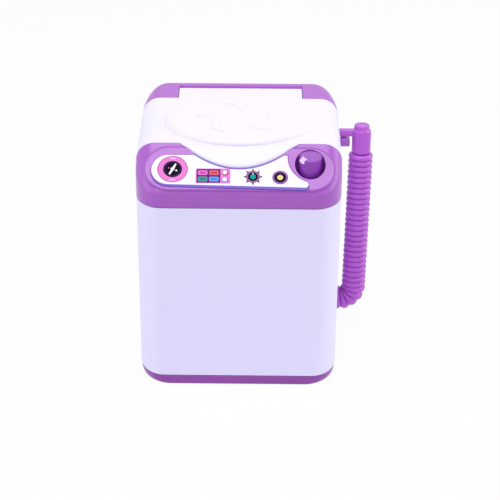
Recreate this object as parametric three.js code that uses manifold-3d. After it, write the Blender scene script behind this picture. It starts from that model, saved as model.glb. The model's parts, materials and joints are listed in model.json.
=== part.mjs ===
// Toy washing machine with a working drum, a hinged lid, a rotary switch and a drain hose on its side.
// Millimetres, +Z up, the front looks along -Y. The machine stands on z = 0.
import * as THREE from "three";
import { mergeVertices } from "three/addons/utils/BufferGeometryUtils.js";
import Module from "manifold-3d";

const wasm = await Module();
wasm.setup();

// Driving dimensions of the casing
const cabinetWidth = 115;
const cabinetDepth = 105;
const cornerAlongX = 15;
const cornerAlongY = 22;
const sideDraft = 0.5; // how much each side draws in from the seam down to the base
const wall = 2;
const gap = 0.3; // clearance between pieces that rest on each other
const overrun = 1; // how far a cut reaches past the face it goes through
const nearlyParallel = 0.5; // a cross product of unit directions shorter than this is too short to use

const baseTop = 6.2;
const seamHeight = 132.7; // lower edge of the lid and of the rear frame
const lidRise = 7.5; // from the seam to the top's front edge
const topRise = 9.4; // how much the top climbs from its front edge to the back
const crownRise = 0.8;
const slopeRise = 19; // height of the sloped control face
const slopeDepth = 25.5; // how far the sloped face reaches back
const skirtHeight = 9.4; // upright part of the control fascia, under the fold
const shoulderRadius = 10.5;
const foldRadius = 2;
const rearEdgeRadius = 3;

// Base tray and battery bay
const trayInsetTop = 0.3;
const trayInsetBottom = 2;
const trayRounder = 5; // the tray's corners are this much rounder at the foot
const trayFloor = 2;
const cellRadius = 7.1;
const cellLength = 49.2;
const cellBevel = 0.7;
const cellNub = 1.3;
const cellNubRadius = 2.6;
const bayFromFront = 14.4; // from the casing's front to the battery bay
const bayWall = 1.6;
const contactRoom = 4.5; // space for a contact at each end of the cells
const doorThickness = 1.6;
const doorLip = 2.4;
const bayWallTop = 14;

// Screws
const screwShank = 1.3;
const screwHead = 2.6;
const screwHeadHeight = 1.6;
const screwHeadFlat = 2.1; // radius of the head's flat top
const screwSlotWidth = 0.55;
const screwSlotDepthShare = 0.4; // of the head's height
const screwClearance = 0.2;
const bossRadius = 3.4;
const screwBite = 8;
const postInset = 11; // from the casing's sides to the corner screws

// Sloped face, label and knob
const bezelRise = 0.8;
const bezelReach = 14.2; // radius of the bezel's round ends
const bezelMiddle = 15; // distance up the slope from the fold
const labelThickness = 0.4;
const labelRecess = 0.8;
const labelEndRadius = 10.25;
const labelFromSide = 19.3; // from the casing's side to the middle of the label's round end
const labelMiddle = 13.25;
const labelTipUp = 3.35;
const labelTipRadius = 2.3;
const labelTipFromKnob = 3; // from the knob's middle to the left
const hollowRadius = 16.1; // the label is hollowed round the well
const hollowFromKnob = 3.9; // from the knob's middle to the right
const hollowUp = 22.2;
const hollowStart = THREE.MathUtils.degToRad(250);
const knobFromSide = 18.1;
const knobFromFront = 14.1;
const knobRadius = 6.2;
const knobLean = THREE.MathUtils.degToRad(8); // the knob's axis leans to the front
const knobRise = 6.1; // the knob's top above the sloped face, along its axis
const knobChamfer = 0.7;
const wellDepth = 7.8; // the well's floor below the sloped face, along the axis
const wellRadius = 8.5;
const spindleRadius = 2.2;
const runningFit = 0.06;
const switchWidth = 13;
const switchHeight = 8.4;
const pointerDepth = 2.2;
const pointerWidth = 5;
const pointerTurn = THREE.MathUtils.degToRad(-58); // round the axis, from the front to the left
const pointerTilt = THREE.MathUtils.degToRad(45);

// Lid
const lidWall = 2;
const tongueInset = 3.2; // the tongue is this much narrower than the lid's tab on each side
const tongueReach = 16.3; // how far the finger tongue comes down the slope
const tongueRise = 1.3;
const tongueSink = 1.2;
const pocketSink = 1.6;
const hingeFromBack = 10.3;
const knuckleRadius = 3.4;
const hingePinRadius = 1.5;
const hingePinLength = 3.2;
const frameDepth = 23.5; // from the front of the two hinge blocks to the back
const hingeBlockWidth = 21.3; // from the casing's side to the lid's tab
const lidSideGap = 0.4;
const swingRelief = 1.4;
const padFromSide = 14.5;
const padOverlap = 0.5; // the raised oval reaches this much past the lid's even part
const padForward = 2;
const padRise = 1.8;
const padBevel = 1.6;
const dropRise = 0.9;
const dropCount = 5;
const dropLength = 15;
const dropWidth = 9;
const dropBend = 2.4;
const dropFromEndX = 21; // from the oval's ends to the drops' middles
const dropFromEndY = 14;
const dropLeanShare = 0.3; // of a half turn, from straight out towards along the oval

// Wash tub, basket and pulsator
const tubFromLidFront = 1.6;
const tubFromBack = 9.1;
const tubWall = 1.6;
const tubCorner = 3.2;
const deckThickness = 2.5;
const ledgeWidth = 2.2;
const ledgeThickness = 1.8;
const hubRadius = 5;
const hubDepth = 4.5;
const basketClearance = 3.8;
const basketWall = 1.4;
const basketCorner = 2.8;
const basketLift = 5.5; // from the tub's underside to the basket's
const basketFromSeam = 12.5;
const basketRim = 1.2;
const slotCount = 12;
const slotWidth = 3;
const slotLength = 22;
const slotRows = 2;
const pulsatorClearance = 7.6;
const pulsatorDome = 5;
const pulsatorDisc = 2;
const vaneCount = 4;
const vaneHeight = 5;
const vaneThickness = 2.2;

// Drive train
const shaftRadius = 1.5;
const shaftBelowPlate = 4.4;
const bushRadius = 3.2;
const bushLength = 4;
const sealRadius = 3.6;
const sealHeight = 1.4;
const toothModule = 0.6;
const rootShare = 1.25; // depth of a tooth's root below the pitch circle, in modules
const gearTeeth = 40;
const pinionTeeth = 10;
const pressureAngle = THREE.MathUtils.degToRad(20);
const backlash = 0.1;
const gearAbovePlate = 1.6;
const hubAboveGear = 1;
const gearThickness = 3.5;
const gearHubRadius = 3.5;
const gearHoles = 5;
const pinionOverlap = 0.5; // the pinion stands this much past the gear's faces
const plateThickness = 2.2;
const plateMargin = 3.8;
const motorAboveFloor = 3.9;
const motorRadius = 10;
const motorFlat = 7.6; // half the width across the motor's two flats
const motorLength = 21;
const motorCapLength = 4;
const motorBossRadius = 3;
const motorBossHeight = 1.2;
const motorShaftRadius = 1;
const standoffRadius = 3;
const standoffFromGear = 1.2;

// Drain and hose
const drainFromWall = 4.4; // from the tub's wall to the middle of the drain
const drainTurn = Math.atan2(3, 4); // where the drain lies round the tub, from the right towards the back
const outletHeight = 18.3;
const drainTubeRadius = 3.4;
const drainBore = 2.2;
const drainBend = 8;
const spigotRadius = 4.2;
const spigotFlangeRadius = 7;
const spigotInnerRadius = 5.2;
const spigotNeck = 1.8; // how far the spigot reaches into the hose
const spigotFlange = 1.4;
const hoseBore = 4.8;
const hoseValley = 6;
const hoseCrest = 7.3;
const ribPitch = 3.47;
const hoseTopOut = 14.4; // from the casing's side to the hose's middle
const hoseFootOut = 13;
const hoseBend = 8.2;
const hoseBelowSeam = 17.9;
const nozzleRadius = 5.6;
const nozzleBelowSeam = 3.3; // the nozzle's shoulder
const nozzleTipRadius = 4.5;
const nozzleNeck = 3; // from the shoulder to the tip
const nozzleBore = 2.6;
const nozzleEnd = 1.2; // the tip is closed by this thickness
const armHeight = 4.1;
const armBelowSeam = 7.4;
const armWidth = 4;
const pegRadius = 1.8;
const pegOut = 3.9;
const pegReach = 3.6; // below the holder's top
const armAboveHolder = 0.9;
const holderHeight = 4.6;
const holderReach = 7;
const holderWidth = 8;
const holderSlot = 2.15; // half the width of the slot that the peg rests in

// Wires
const wireRadius = 0.6;

// Facets
const roundSteps = 28;
const smallSteps = 12;
const screwSteps = 8;
const ringSteps = 24;
const cornerSteps = 6;
const shoulderSteps = 5;
const crownSteps = 6;
const hoseSides = 8;
const trayCurveSteps = 3;
const hollowSteps = 6;
const motorArcSteps = 6;
const springSides = 5;
const wireSides = 6;
const wireBendSteps = 3;
const drainBendSteps = 6;

// Derived places
const halfWidth = cabinetWidth / 2;
const halfDepth = cabinetDepth / 2;
const frontTopHeight = seamHeight + lidRise;
const rearTopHeight = frontTopHeight + topRise;
const foldHeight = frontTopHeight - slopeRise;
const skirtBottom = foldHeight - skirtHeight;
const lidFront = -halfDepth + slopeDepth;
const slopeAngle = Math.atan2(slopeRise, slopeDepth);
const slopeLength = Math.hypot(slopeRise, slopeDepth);
const cabinetTop = seamHeight - gap;
const deckTop = cabinetTop - gap;

const bayHalfLength = cellLength / 2 + contactRoom;
const bayHalfWidth = 2 * cellRadius + gap;
const bayMiddleY = -halfDepth + bayFromFront + bayWall + bayHalfWidth;
const labelEndX = -halfWidth + labelFromSide;
const knobX = halfWidth - knobFromSide;
const knobY = -halfDepth + knobFromFront;
const knobMiddle = slopeHeight(knobY);
const knobTop = knobMiddle + knobRise;
const knobFloor = knobMiddle - wellDepth;

const tabHalfWidth = halfWidth - hingeBlockWidth;
const tongueHalfWidth = tabHalfWidth - tongueInset;
const screwPilot = screwShank + screwClearance;
const hingeY = halfDepth - hingeFromBack;
const hingeZ = crownHeight(hingeY) - knuckleRadius;
const frameFront = halfDepth - frameDepth;
const padHalfWidth = halfWidth - padFromSide;
const padHalfDepth = (frameFront - lidFront) / 2 + padOverlap;
const padMiddleY = (frameFront + lidFront) / 2 - padForward;

const tubFront = lidFront + tubFromLidFront;
const tubBack = halfDepth - tubFromBack;
const tubRadius = (tubBack - tubFront) / 2;
const drumY = (tubBack + tubFront) / 2;
const basketRadius = tubRadius - basketClearance;
const pulsatorRadius = basketRadius - pulsatorClearance;
const gearPitchRadius = (toothModule * gearTeeth) / 2;
const pinionPitchRadius = (toothModule * pinionTeeth) / 2;
const motorY = drumY + gearPitchRadius + pinionPitchRadius;
const standoffX = gearPitchRadius + toothModule + standoffFromGear + standoffRadius;
const plateHalfWidth = standoffX + plateMargin;
const motorBottom = trayFloor + motorAboveFloor;
const motorTop = motorBottom + motorCapLength + motorLength;
const plateBottom = motorTop + gap;
const plateTop = plateBottom + plateThickness;
const shaftBottom = plateTop - shaftBelowPlate;
const gearBottom = plateTop + gearAbovePlate;
const tubBottom = gearBottom + gearThickness + hubAboveGear + hubDepth;
const hubBottom = tubBottom - hubDepth;
const basketBottom = tubBottom + basketLift;
const basketTop = seamHeight - basketFromSeam;

const drainX = (tubRadius - drainFromWall) * Math.cos(drainTurn);
const drainY = drumY + (tubRadius - drainFromWall) * Math.sin(drainTurn);
const hoseTopX = halfWidth + hoseTopOut;
const hoseFootX = halfWidth + hoseFootOut;
const hoseTop = seamHeight - hoseBelowSeam;
const nozzleShoulder = seamHeight - nozzleBelowSeam;
const nozzleTop = nozzleShoulder + nozzleNeck;
const armBottom = seamHeight - armBelowSeam;
const pegX = halfWidth + pegOut;
const holderTop = armBottom - armAboveHolder;
const pegBottom = holderTop - pegReach;
const hoseOuterX = hoseTopX + hoseCrest;
const machineShift = (halfWidth - hoseOuterX) / 2; // puts the middle of the whole object over the origin

// Geometry helpers

// A closed three.js geometry as a manifold solid.
function solid(geometry) {
  const bare = geometry.index ? geometry.toNonIndexed() : geometry.clone();
  bare.deleteAttribute("normal");
  bare.deleteAttribute("uv");
  const merged = mergeVertices(bare, 1e-4);
  return new wasm.Manifold(
    new wasm.Mesh({
      numProp: 3,
      vertProperties: merged.attributes.position.array,
      triVerts: new Uint32Array(merged.index.array),
    }),
  );
}

function geometryOf(body) {
  const mesh = body.getMesh();
  const geometry = new THREE.BufferGeometry();
  const places = new Float32Array(mesh.numVert * 3);
  for (let i = 0; i < mesh.numVert; i++)
    for (let k = 0; k < 3; k++) places[3 * i + k] = mesh.vertProperties[mesh.numProp * i + k];
  geometry.setAttribute("position", new THREE.BufferAttribute(places, 3));
  geometry.setIndex([...mesh.triVerts]);
  const flat = geometry.toNonIndexed();
  flat.computeVertexNormals();
  return flat;
}

function join(...bodies) {
  return bodies.reduce((sum, body) => sum.add(body));
}

function cut(body, ...tools) {
  return tools.reduce((left, tool) => left.subtract(tool), body);
}

// A flat outline of [x, y] points drawn up from low to high.
function prism(points, low, high) {
  const shape = new THREE.Shape(points.map(([x, y]) => new THREE.Vector2(x, y)));
  const geometry = new THREE.ExtrudeGeometry(shape, { depth: high - low, bevelEnabled: false });
  return solid(geometry.translate(0, 0, low));
}

// A flat outline of [y, z] points drawn along X.
function barAlongX(points, left, right) {
  const shape = new THREE.Shape(points.map(([y, z]) => new THREE.Vector2(y, z)));
  const geometry = new THREE.ExtrudeGeometry(shape, { depth: right - left, bevelEnabled: false });
  const turn = new THREE.Matrix4().makeBasis(
    new THREE.Vector3(0, 1, 0),
    new THREE.Vector3(0, 0, 1),
    new THREE.Vector3(1, 0, 0),
  );
  return solid(geometry.applyMatrix4(turn).translate(left, 0, 0));
}

function block(x0, x1, y0, y1, z0, z1) {
  const geometry = new THREE.BoxGeometry(x1 - x0, y1 - y0, z1 - z0);
  return solid(geometry.translate((x0 + x1) / 2, (y0 + y1) / 2, (z0 + z1) / 2));
}

// A round bar on the Z axis through x, y.
function rod(x, y, z0, z1, radius, steps = smallSteps) {
  const geometry = new THREE.CylinderGeometry(radius, radius, z1 - z0, steps);
  return solid(geometry.rotateX(Math.PI / 2).translate(x, y, (z0 + z1) / 2));
}

// A round bar along X through y, z.
function rodAlongX(x0, x1, y, z, radius, steps = smallSteps) {
  const geometry = new THREE.CylinderGeometry(radius, radius, x1 - x0, steps);
  return solid(geometry.rotateZ(Math.PI / 2).translate((x0 + x1) / 2, y, z));
}

// A turned body on the Z axis through x, y, from [radius, z] points that start and end on the axis.
function turned(x, y, profile, steps = roundSteps) {
  const points = profile.map(([radius, z]) => new THREE.Vector2(radius, z));
  return solid(new THREE.LatheGeometry(points, steps).rotateX(Math.PI / 2).translate(x, y, 0));
}

// Rings of equally many points, joined by side faces and closed by two caps. A ridged top cap is made of
// strips from side to side, for a last ring that runs back along the right and forward along the left.
function loft(rings, ridged = false) {
  const count = rings[0].length;
  const places = rings.flat().flat();
  const faces = [];
  for (let r = 0; r + 1 < rings.length; r++)
    for (let i = 0; i < count; i++) {
      const a = r * count + i;
      const b = r * count + ((i + 1) % count);
      faces.push(a, b, b + count, a, b + count, a + count);
    }
  const last = (rings.length - 1) * count;
  for (let i = 1; i + 1 < count; i++) {
    faces.push(0, i + 1, i);
    if (!ridged) faces.push(last, last + i, last + i + 1);
  }
  for (let i = 0; ridged && i + 1 < count / 2; i++) {
    const left = last + count - 1 - i;
    faces.push(last + i, last + i + 1, left - 1, last + i, left - 1, left);
  }
  const geometry = new THREE.BufferGeometry();
  geometry.setAttribute("position", new THREE.Float32BufferAttribute(places, 3));
  geometry.setIndex(faces);
  return solid(geometry);
}

// A round wire or pipe along a route of [x, y, z] points with rounded bends.
function pipe(route, radius, bend, sides, stepsPerBend) {
  const path = new THREE.CurvePath();
  const points = route.map((p) => new THREE.Vector3(...p));
  let from = points[0];
  for (let i = 1; i + 1 < points.length; i++) {
    const into = points[i].clone().sub(points[i - 1]).normalize();
    const out = points[i + 1].clone().sub(points[i]).normalize();
    const start = points[i].clone().addScaledVector(into, -bend);
    const end = points[i].clone().addScaledVector(out, bend);
    path.add(new THREE.LineCurve3(from, start));
    path.add(new THREE.QuadraticBezierCurve3(start, points[i], end));
    from = end;
  }
  path.add(new THREE.LineCurve3(from, points[points.length - 1]));
  const rings = [];
  const stations = [];
  for (const piece of path.curves) {
    const steps = piece.isLineCurve3 ? 1 : stepsPerBend;
    for (let k = stations.length ? 1 : 0; k <= steps; k++)
      stations.push([piece.getPoint(k / steps), piece.getTangent(k / steps)]);
  }
  let side = new THREE.Vector3(0, 0, 1).cross(stations[0][1]);
  if (side.length() < nearlyParallel) side = new THREE.Vector3(1, 0, 0).cross(stations[0][1]);
  side.normalize();
  for (const [place, along] of stations) {
    side = side.clone().addScaledVector(along, -side.dot(along)).normalize();
    const up = along.clone().cross(side);
    const ring = [];
    for (let i = 0; i < sides; i++) {
      const turn = (2 * Math.PI * i) / sides;
      const point = place
        .clone()
        .addScaledVector(side, radius * Math.cos(turn))
        .addScaledVector(up, radius * Math.sin(turn));
      ring.push(point.toArray());
    }
    rings.push(ring);
  }
  return loft(rings);
}

// Shape of the casing

// Stations on the right half of the casing's outline seen from above, from front to back: each has the
// middle of its arc, and the direction that it faces. The straight side is divided into sideSteps.
function outlineStations(sideSteps) {
  const x = halfWidth - cornerAlongX;
  const y = halfDepth - cornerAlongY;
  const stations = [];
  for (let i = 0; i <= cornerSteps; i++)
    stations.push({ x, y: -y, turn: (Math.PI / 2) * (i / cornerSteps - 1) });
  for (let i = 1; i < sideSteps; i++) stations.push({ x, y: -y + (2 * y * i) / sideSteps, turn: 0 });
  for (let i = 0; i <= cornerSteps; i++) stations.push({ x, y, turn: (Math.PI / 2) * (i / cornerSteps) });
  return stations;
}

// A station's point, drawn in by inset.
function stationPoint({ x, y, turn }, inset) {
  return [x + (cornerAlongX - inset) * Math.cos(turn), y + (cornerAlongY - inset) * Math.sin(turn)];
}

// The outline of the casing, drawn in by inset on every side, with corners that are rounder by an amount.
function planOutline(inset, rounder = 0) {
  const right = outlineStations(1).map(({ x, y, turn }) =>
    stationPoint({ x: x - rounder, y: y - Math.sign(y) * rounder, turn }, inset - rounder),
  );
  return [...right, ...right.map(([x, y]) => [-x, y]).reverse()];
}

function planRing(inset, z, rounder = 0) {
  return planOutline(inset, rounder).map(([x, y]) => [x, y, z]);
}

// The drawn-in amount of the drafted sides at a height.
function draftAt(z) {
  return (sideDraft * (cabinetTop - z)) / cabinetTop;
}

// Height of the crowned top over y.
function crownHeight(y) {
  const share = (y - lidFront) / (halfDepth - lidFront);
  return frontTopHeight + (rearTopHeight - frontTopHeight) * share + 4 * crownRise * share * (1 - share);
}

// How steeply the crowned top climbs at its front edge.
function crownSlope() {
  return (topRise + 4 * crownRise) / (halfDepth - lidFront);
}

function slopeHeight(y) {
  return foldHeight + (y + halfDepth) * Math.tan(slopeAngle);
}

// The space inside the casing above low and under a roof that rises over y, with every edge of the roof
// rounded: widely at the sides, less at the front and the back. It is drawn in by inset.
function roofedForm(roof, inset, low) {
  const stations = outlineStations(crownSteps);
  const floor = stations.map((station) => [...stationPoint(station, inset), low - shoulderRadius]);
  const rings = [floor];
  for (let i = 0; i <= shoulderSteps; i++) {
    const bend = ((Math.PI / 2) * i) / shoulderSteps;
    rings.push(
      stations.map((station) => {
        const across = Math.cos(station.turn) ** 2;
        const edge = station.turn < 0 ? foldRadius : rearEdgeRadius;
        const radius = shoulderRadius * across + edge * (1 - across) - inset;
        const [x, y] = stationPoint(station, inset + radius * (1 - Math.cos(bend)));
        return [x, y, roof(y) - inset - radius * (1 - Math.sin(bend))];
      }),
    );
  }
  const whole = rings.map((right) => [...right, ...right.map(([x, y, z]) => [-x, y, z]).reverse()]);
  const far = cabinetWidth + rearTopHeight;
  return loft(whole, true).intersect(block(-far, far, -far, far, low, far));
}

// A slab along X whose top follows the crown, raised by rise.
function underCrown(rise, low) {
  const points = [[lidFront - slopeDepth, low], [halfDepth, low]];
  for (let i = crownSteps; i >= 0; i--) {
    const y = lidFront - slopeDepth + ((halfDepth - lidFront + slopeDepth) * i) / crownSteps;
    points.push([y, crownHeight(y) + rise]);
  }
  return barAlongX(points, -halfWidth, halfWidth);
}

// Puts a body made on the sloped face into place: y runs up the slope from the fold, z stands off it.
function onSlope(body) {
  const geometry = geometryOf(body);
  geometry.rotateX(slopeAngle).translate(0, -halfDepth, foldHeight);
  return solid(geometry);
}

// Leans a body, made upright on the knob's axis, to the front about the middle of the well's mouth.
function leaned(body) {
  const geometry = geometryOf(body);
  geometry.translate(0, -knobY, -knobMiddle).rotateX(knobLean);
  return solid(geometry.translate(0, knobY, knobMiddle));
}

// Where the upright height z on the knob's axis comes to lie, as [y, z].
function leanedPlace(z) {
  const rise = z - knobMiddle;
  return [knobY - rise * Math.sin(knobLean), knobMiddle + rise * Math.cos(knobLean)];
}

// Base tray, battery bay and door

const doorTop = doorThickness;
const cellHeight = doorTop + gap + cellRadius;
const postX = halfWidth - postInset;
const postY = halfDepth - postInset;
const postPlaces = [
  [-postX, -postY],
  [postX, -postY],
  [postX, postY],
  [-postX, postY],
];
const doorScrewY = bayMiddleY + bayHalfWidth + bayWall + screwHead;

function baseTray() {
  const rings = [];
  for (let i = 0; i <= trayCurveSteps; i++) {
    const bend = ((Math.PI / 2) * i) / trayCurveSteps;
    const drawnIn = 1 - Math.sin(bend);
    const inset = trayInsetTop + (trayInsetBottom - trayInsetTop) * drawnIn;
    rings.push(planRing(sideDraft + inset, baseTop * (1 - Math.cos(bend)), trayRounder * drawnIn));
  }
  const outer = loft(rings);
  const hollow = prism(planOutline(sideDraft + trayInsetBottom + wall), trayFloor, baseTop + overrun);
  let tray = cut(outer, hollow);
  const bayOuter = block(
    -bayHalfLength - bayWall,
    bayHalfLength + bayWall,
    bayMiddleY - bayHalfWidth - bayWall,
    bayMiddleY + bayHalfWidth + bayWall,
    0,
    bayWallTop,
  );
  const bayInner = block(
    -bayHalfLength,
    bayHalfLength,
    bayMiddleY - bayHalfWidth,
    bayMiddleY + bayHalfWidth,
    doorTop,
    bayWallTop + overrun,
  );
  const bossTop = baseTop + screwBite / 2;
  const doorBoss = rod(0, doorScrewY, 0, bossTop, bossRadius);
  tray = join(tray, bayOuter, doorBoss);
  tray = cut(tray, bayInner, doorSpace(gap));
  tray = cut(tray, rod(0, doorScrewY, doorTop, bossTop + overrun, screwPilot));
  for (const [x, y] of postPlaces) {
    tray = join(tray, rod(x, y, 0, baseTop - gap, bossRadius));
    tray = cut(tray, rod(x, y, -overrun, baseTop + overrun, screwPilot));
    tray = cut(tray, rod(x, y, -overrun, screwHeadHeight + 2 * gap, screwHead + screwClearance));
  }
  return tray;
}

// The rectangle in the tray's floor that the door fills, larger by grow on every side.
function doorSpace(grow) {
  const reachX = bayHalfLength - doorLip / 2;
  const front = bayMiddleY - bayHalfWidth;
  const back = doorScrewY + screwHead + screwClearance + doorThickness;
  return block(-reachX - grow, reachX + grow, front - grow, back + grow, -overrun * grow, doorTop);
}

function batteryDoor() {
  const plate = doorSpace(0);
  const recess = rod(0, doorScrewY, 0, screwHeadHeight / 2 + gap, screwHead + screwClearance);
  const hole = rod(0, doorScrewY, -overrun, doorTop + overrun, screwPilot);
  const grip = join(
    ...[-1, 0, 1].map((row) => {
      const y = bayMiddleY - bayHalfWidth / 2 + row * doorLip;
      return block(-cellRadius, cellRadius, y - gap, y + gap, -overrun, doorThickness / 4);
    }),
  );
  return cut(plate, recess, hole, grip);
}

// A pan head screw whose head's underside is at z and whose shank points up.
function screwUp(x, y, z, length, headHeight = screwHeadHeight) {
  const head = turned(x, y, [
    [0, z - headHeight],
    [screwHeadFlat, z - headHeight],
    [screwHead, z - headHeight / 2],
    [screwHead, z],
    [0, z],
  ], screwSteps);
  const shank = turned(x, y, [
    [0, z - headHeight / 2],
    [screwShank, z - headHeight / 2],
    [screwShank, z + length - screwShank],
    [0, z + length],
  ], screwSteps);
  const slot = block(
    x - screwHead,
    x + screwHead,
    y - screwSlotWidth / 2,
    y + screwSlotWidth / 2,
    z - headHeight - overrun,
    z - headHeight * (1 - screwSlotDepthShare),
  );
  return cut(join(head, shank), slot);
}

function batteryCell(y, sign) {
  const profile = [
    [0, 0],
    [cellRadius - cellBevel, 0],
    [cellRadius, cellBevel],
    [cellRadius, cellLength - cellNub - cellBevel],
    [cellRadius - cellBevel, cellLength - cellNub],
    [cellNubRadius, cellLength - cellNub],
    [cellNubRadius, cellLength],
    [0, cellLength],
  ];
  const geometry = geometryOf(turned(0, 0, profile, smallSteps));
  geometry.translate(0, 0, -cellLength / 2).rotateY((sign * Math.PI) / 2);
  return solid(geometry.translate(0, y, cellHeight));
}

const cellRows = [bayMiddleY - cellRadius - gap / 4, bayMiddleY + cellRadius + gap / 4];
const contactPlate = 0.5;
const contactHeight = 9;

function contactBase(side, y0, y1) {
  const outer = side * (bayHalfLength - gap);
  const inner = outer - side * contactPlate;
  return block(
    Math.min(outer, inner),
    Math.max(outer, inner),
    y0,
    y1,
    cellHeight - contactHeight / 2,
    cellHeight + contactHeight / 2,
  );
}

// A flat contact that bridges both cells, and single ones for the leads.
function contactBridge() {
  const reach = cellRadius + contactHeight / 2;
  return contactBase(-1, bayMiddleY - reach, bayMiddleY + reach);
}

function contactTab(row) {
  const plate = contactBase(1, cellRows[row] - contactHeight / 2, cellRows[row] + contactHeight / 2);
  const x = bayHalfLength - gap;
  const tail = block(
    x - contactPlate,
    x,
    cellRows[row] - contactPlate,
    cellRows[row] + contactPlate,
    cellHeight,
    bayWallTop + wall,
  );
  return join(plate, tail);
}

// A conical coil spring that presses on the flat end of a cell.
const springTurns = 3;
const springWire = 0.35;
const springLoopSteps = 8;

function coilSpring(side, row) {
  const x0 = side * (bayHalfLength - gap - contactPlate - gap - springWire);
  const x1 = side * (cellLength / 2 + gap + springWire);
  const rings = [];
  const steps = springTurns * springLoopSteps;
  for (let i = 0; i <= steps; i++) {
    const share = i / steps;
    const turn = 2 * Math.PI * springTurns * share;
    const radius = (cellRadius - wall) * (1 - share / 2);
    const x = x0 + (x1 - x0) * share;
    const ring = [];
    for (let k = 0; k < springSides; k++) {
      const around = (-2 * Math.PI * k) / springSides;
      const out = radius + springWire * Math.cos(around);
      ring.push([
        x + springWire * Math.sin(around),
        cellRows[row] + out * Math.cos(turn),
        cellHeight + out * Math.sin(turn),
      ]);
    }
    rings.push(ring);
  }
  return loft(rings);
}

// Cabinet

const fasciaScrewX = halfWidth - wall - bossRadius - wall;
const fasciaScrewY = lidFront - wall - bossRadius - wall;
const frameScrewX = halfWidth - cornerAlongX - bossRadius / 2;
const frameScrewY = hingeY - hingePinRadius - bossRadius - 2 * gap;
const tabThickness = 2.4;

function cabinet() {
  const outer = loft([planRing(sideDraft, baseTop + gap), planRing(0, cabinetTop)]);
  const innerLow = loft([
    planRing(sideDraft + wall, baseTop + gap - overrun),
    planRing(draftAt(deckTop - deckThickness) + wall, deckTop - deckThickness - gap - ledgeThickness),
  ]);
  const innerTop = prism(planOutline(wall), deckTop - deckThickness - gap, cabinetTop + overrun);
  const ledge = prism(
    planOutline(wall + ledgeWidth),
    deckTop - deckThickness - gap - ledgeThickness - overrun,
    cabinetTop,
  );
  const fasciaSeat = block(
    -cabinetWidth,
    cabinetWidth,
    -cabinetDepth,
    lidFront,
    skirtBottom - gap,
    cabinetTop + overrun,
  );
  let body = cut(outer, innerLow, innerTop, ledge, fasciaSeat);
  const inside = prism(planOutline(sideDraft + wall / 2), baseTop, cabinetTop);
  for (const [x, y] of postPlaces) {
    const post = rod(x, y, baseTop, baseTop + 3 * screwBite, bossRadius);
    const rib = block(
      Math.min(x, Math.sign(x) * halfWidth),
      Math.max(x, Math.sign(x) * halfWidth),
      y - wall / 2,
      y + wall / 2,
      baseTop,
      baseTop + 3 * screwBite,
    );
    body = join(body, join(post, rib).intersect(inside));
    body = cut(body, rod(x, y, baseTop - overrun, baseTop + gap + screwBite, screwPilot));
  }
  for (const side of [-1, 1]) {
    const shelfX = side * fasciaScrewX;
    const shelf = block(
      Math.min(shelfX - side * bossRadius, side * halfWidth),
      Math.max(shelfX - side * bossRadius, side * halfWidth),
      fasciaScrewY - bossRadius,
      fasciaScrewY + bossRadius,
      skirtBottom - gap - tabThickness,
      skirtBottom - gap,
    );
    body = join(body, shelf.intersect(inside));
    body = cut(
      body,
      rod(shelfX, fasciaScrewY, skirtBottom - 2 * tabThickness, skirtBottom, screwPilot),
    );
    const frameX = side * frameScrewX;
    const tab = block(
      Math.min(frameX - bossRadius, frameX + bossRadius),
      Math.max(frameX - bossRadius, frameX + bossRadius),
      frameScrewY - bossRadius,
      halfDepth,
      deckTop - deckThickness - gap - ledgeThickness,
      deckTop - deckThickness - gap,
    );
    body = join(body, tab.intersect(inside));
    body = cut(
      body,
      rod(frameX, frameScrewY, deckTop - 3 * deckThickness, deckTop, screwPilot),
    );
  }
  body = cut(
    body,
    rodAlongX(halfWidth - 2 * wall, halfWidth + overrun, drainY, outletHeight, spigotRadius + gap),
    holderTenon(gap),
  );
  return body;
}

// Control fascia, label and knob

// Points on an arc on the slope.
function arcOnSlope(x, up, radius, from, to, steps) {
  const points = [];
  for (let i = 0; i <= steps; i++) {
    const angle = from + ((to - from) * i) / steps;
    points.push([x + radius * Math.cos(angle), up + radius * Math.sin(angle)]);
  }
  return points;
}

// The outline of the raised bezel on the slope: two round ends joined by straight edges.
function bezelOutline() {
  const quarter = Math.PI / 2;
  return [
    ...arcOnSlope(knobX, bezelMiddle, bezelReach, -quarter, quarter, smallSteps),
    ...arcOnSlope(labelEndX, bezelMiddle, bezelReach, quarter, 3 * quarter, smallSteps),
  ];
}

// The label's outline on the slope, drawn in by inset: round at the left, hollowed round the knob's well
// and ending in a round tip under it.
function labelOutline(inset) {
  const quarter = Math.PI / 2;
  const tipX = knobX - labelTipFromKnob;
  const reach = hollowRadius + inset;
  const top = labelMiddle + labelEndRadius - inset;
  const hollowEnd = Math.PI - Math.asin((top - hollowUp) / reach);
  return [
    ...arcOnSlope(labelEndX, labelMiddle, labelEndRadius - inset, quarter, 3 * quarter, smallSteps),
    ...arcOnSlope(tipX, labelTipUp, labelTipRadius - inset, -quarter, quarter / 2, hollowSteps / 2),
    ...arcOnSlope(knobX + hollowFromKnob, hollowUp, reach, hollowStart, hollowEnd, hollowSteps),
  ];
}

// The tongue's outline on the slope: a parabola hanging from the lid's front edge, larger by grow.
function tongueOutline(grow) {
  const points = [];
  const half = tongueHalfWidth + grow;
  for (let i = 0; i <= roundSteps / 2; i++) {
    const share = (2 * i) / (roundSteps / 2) - 1;
    points.push([half * share, slopeLength - tongueReach - grow + (tongueReach + grow) * share * share]);
  }
  points.push([half, slopeLength + tongueReach]);
  points.push([-half, slopeLength + tongueReach]);
  return points;
}

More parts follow.
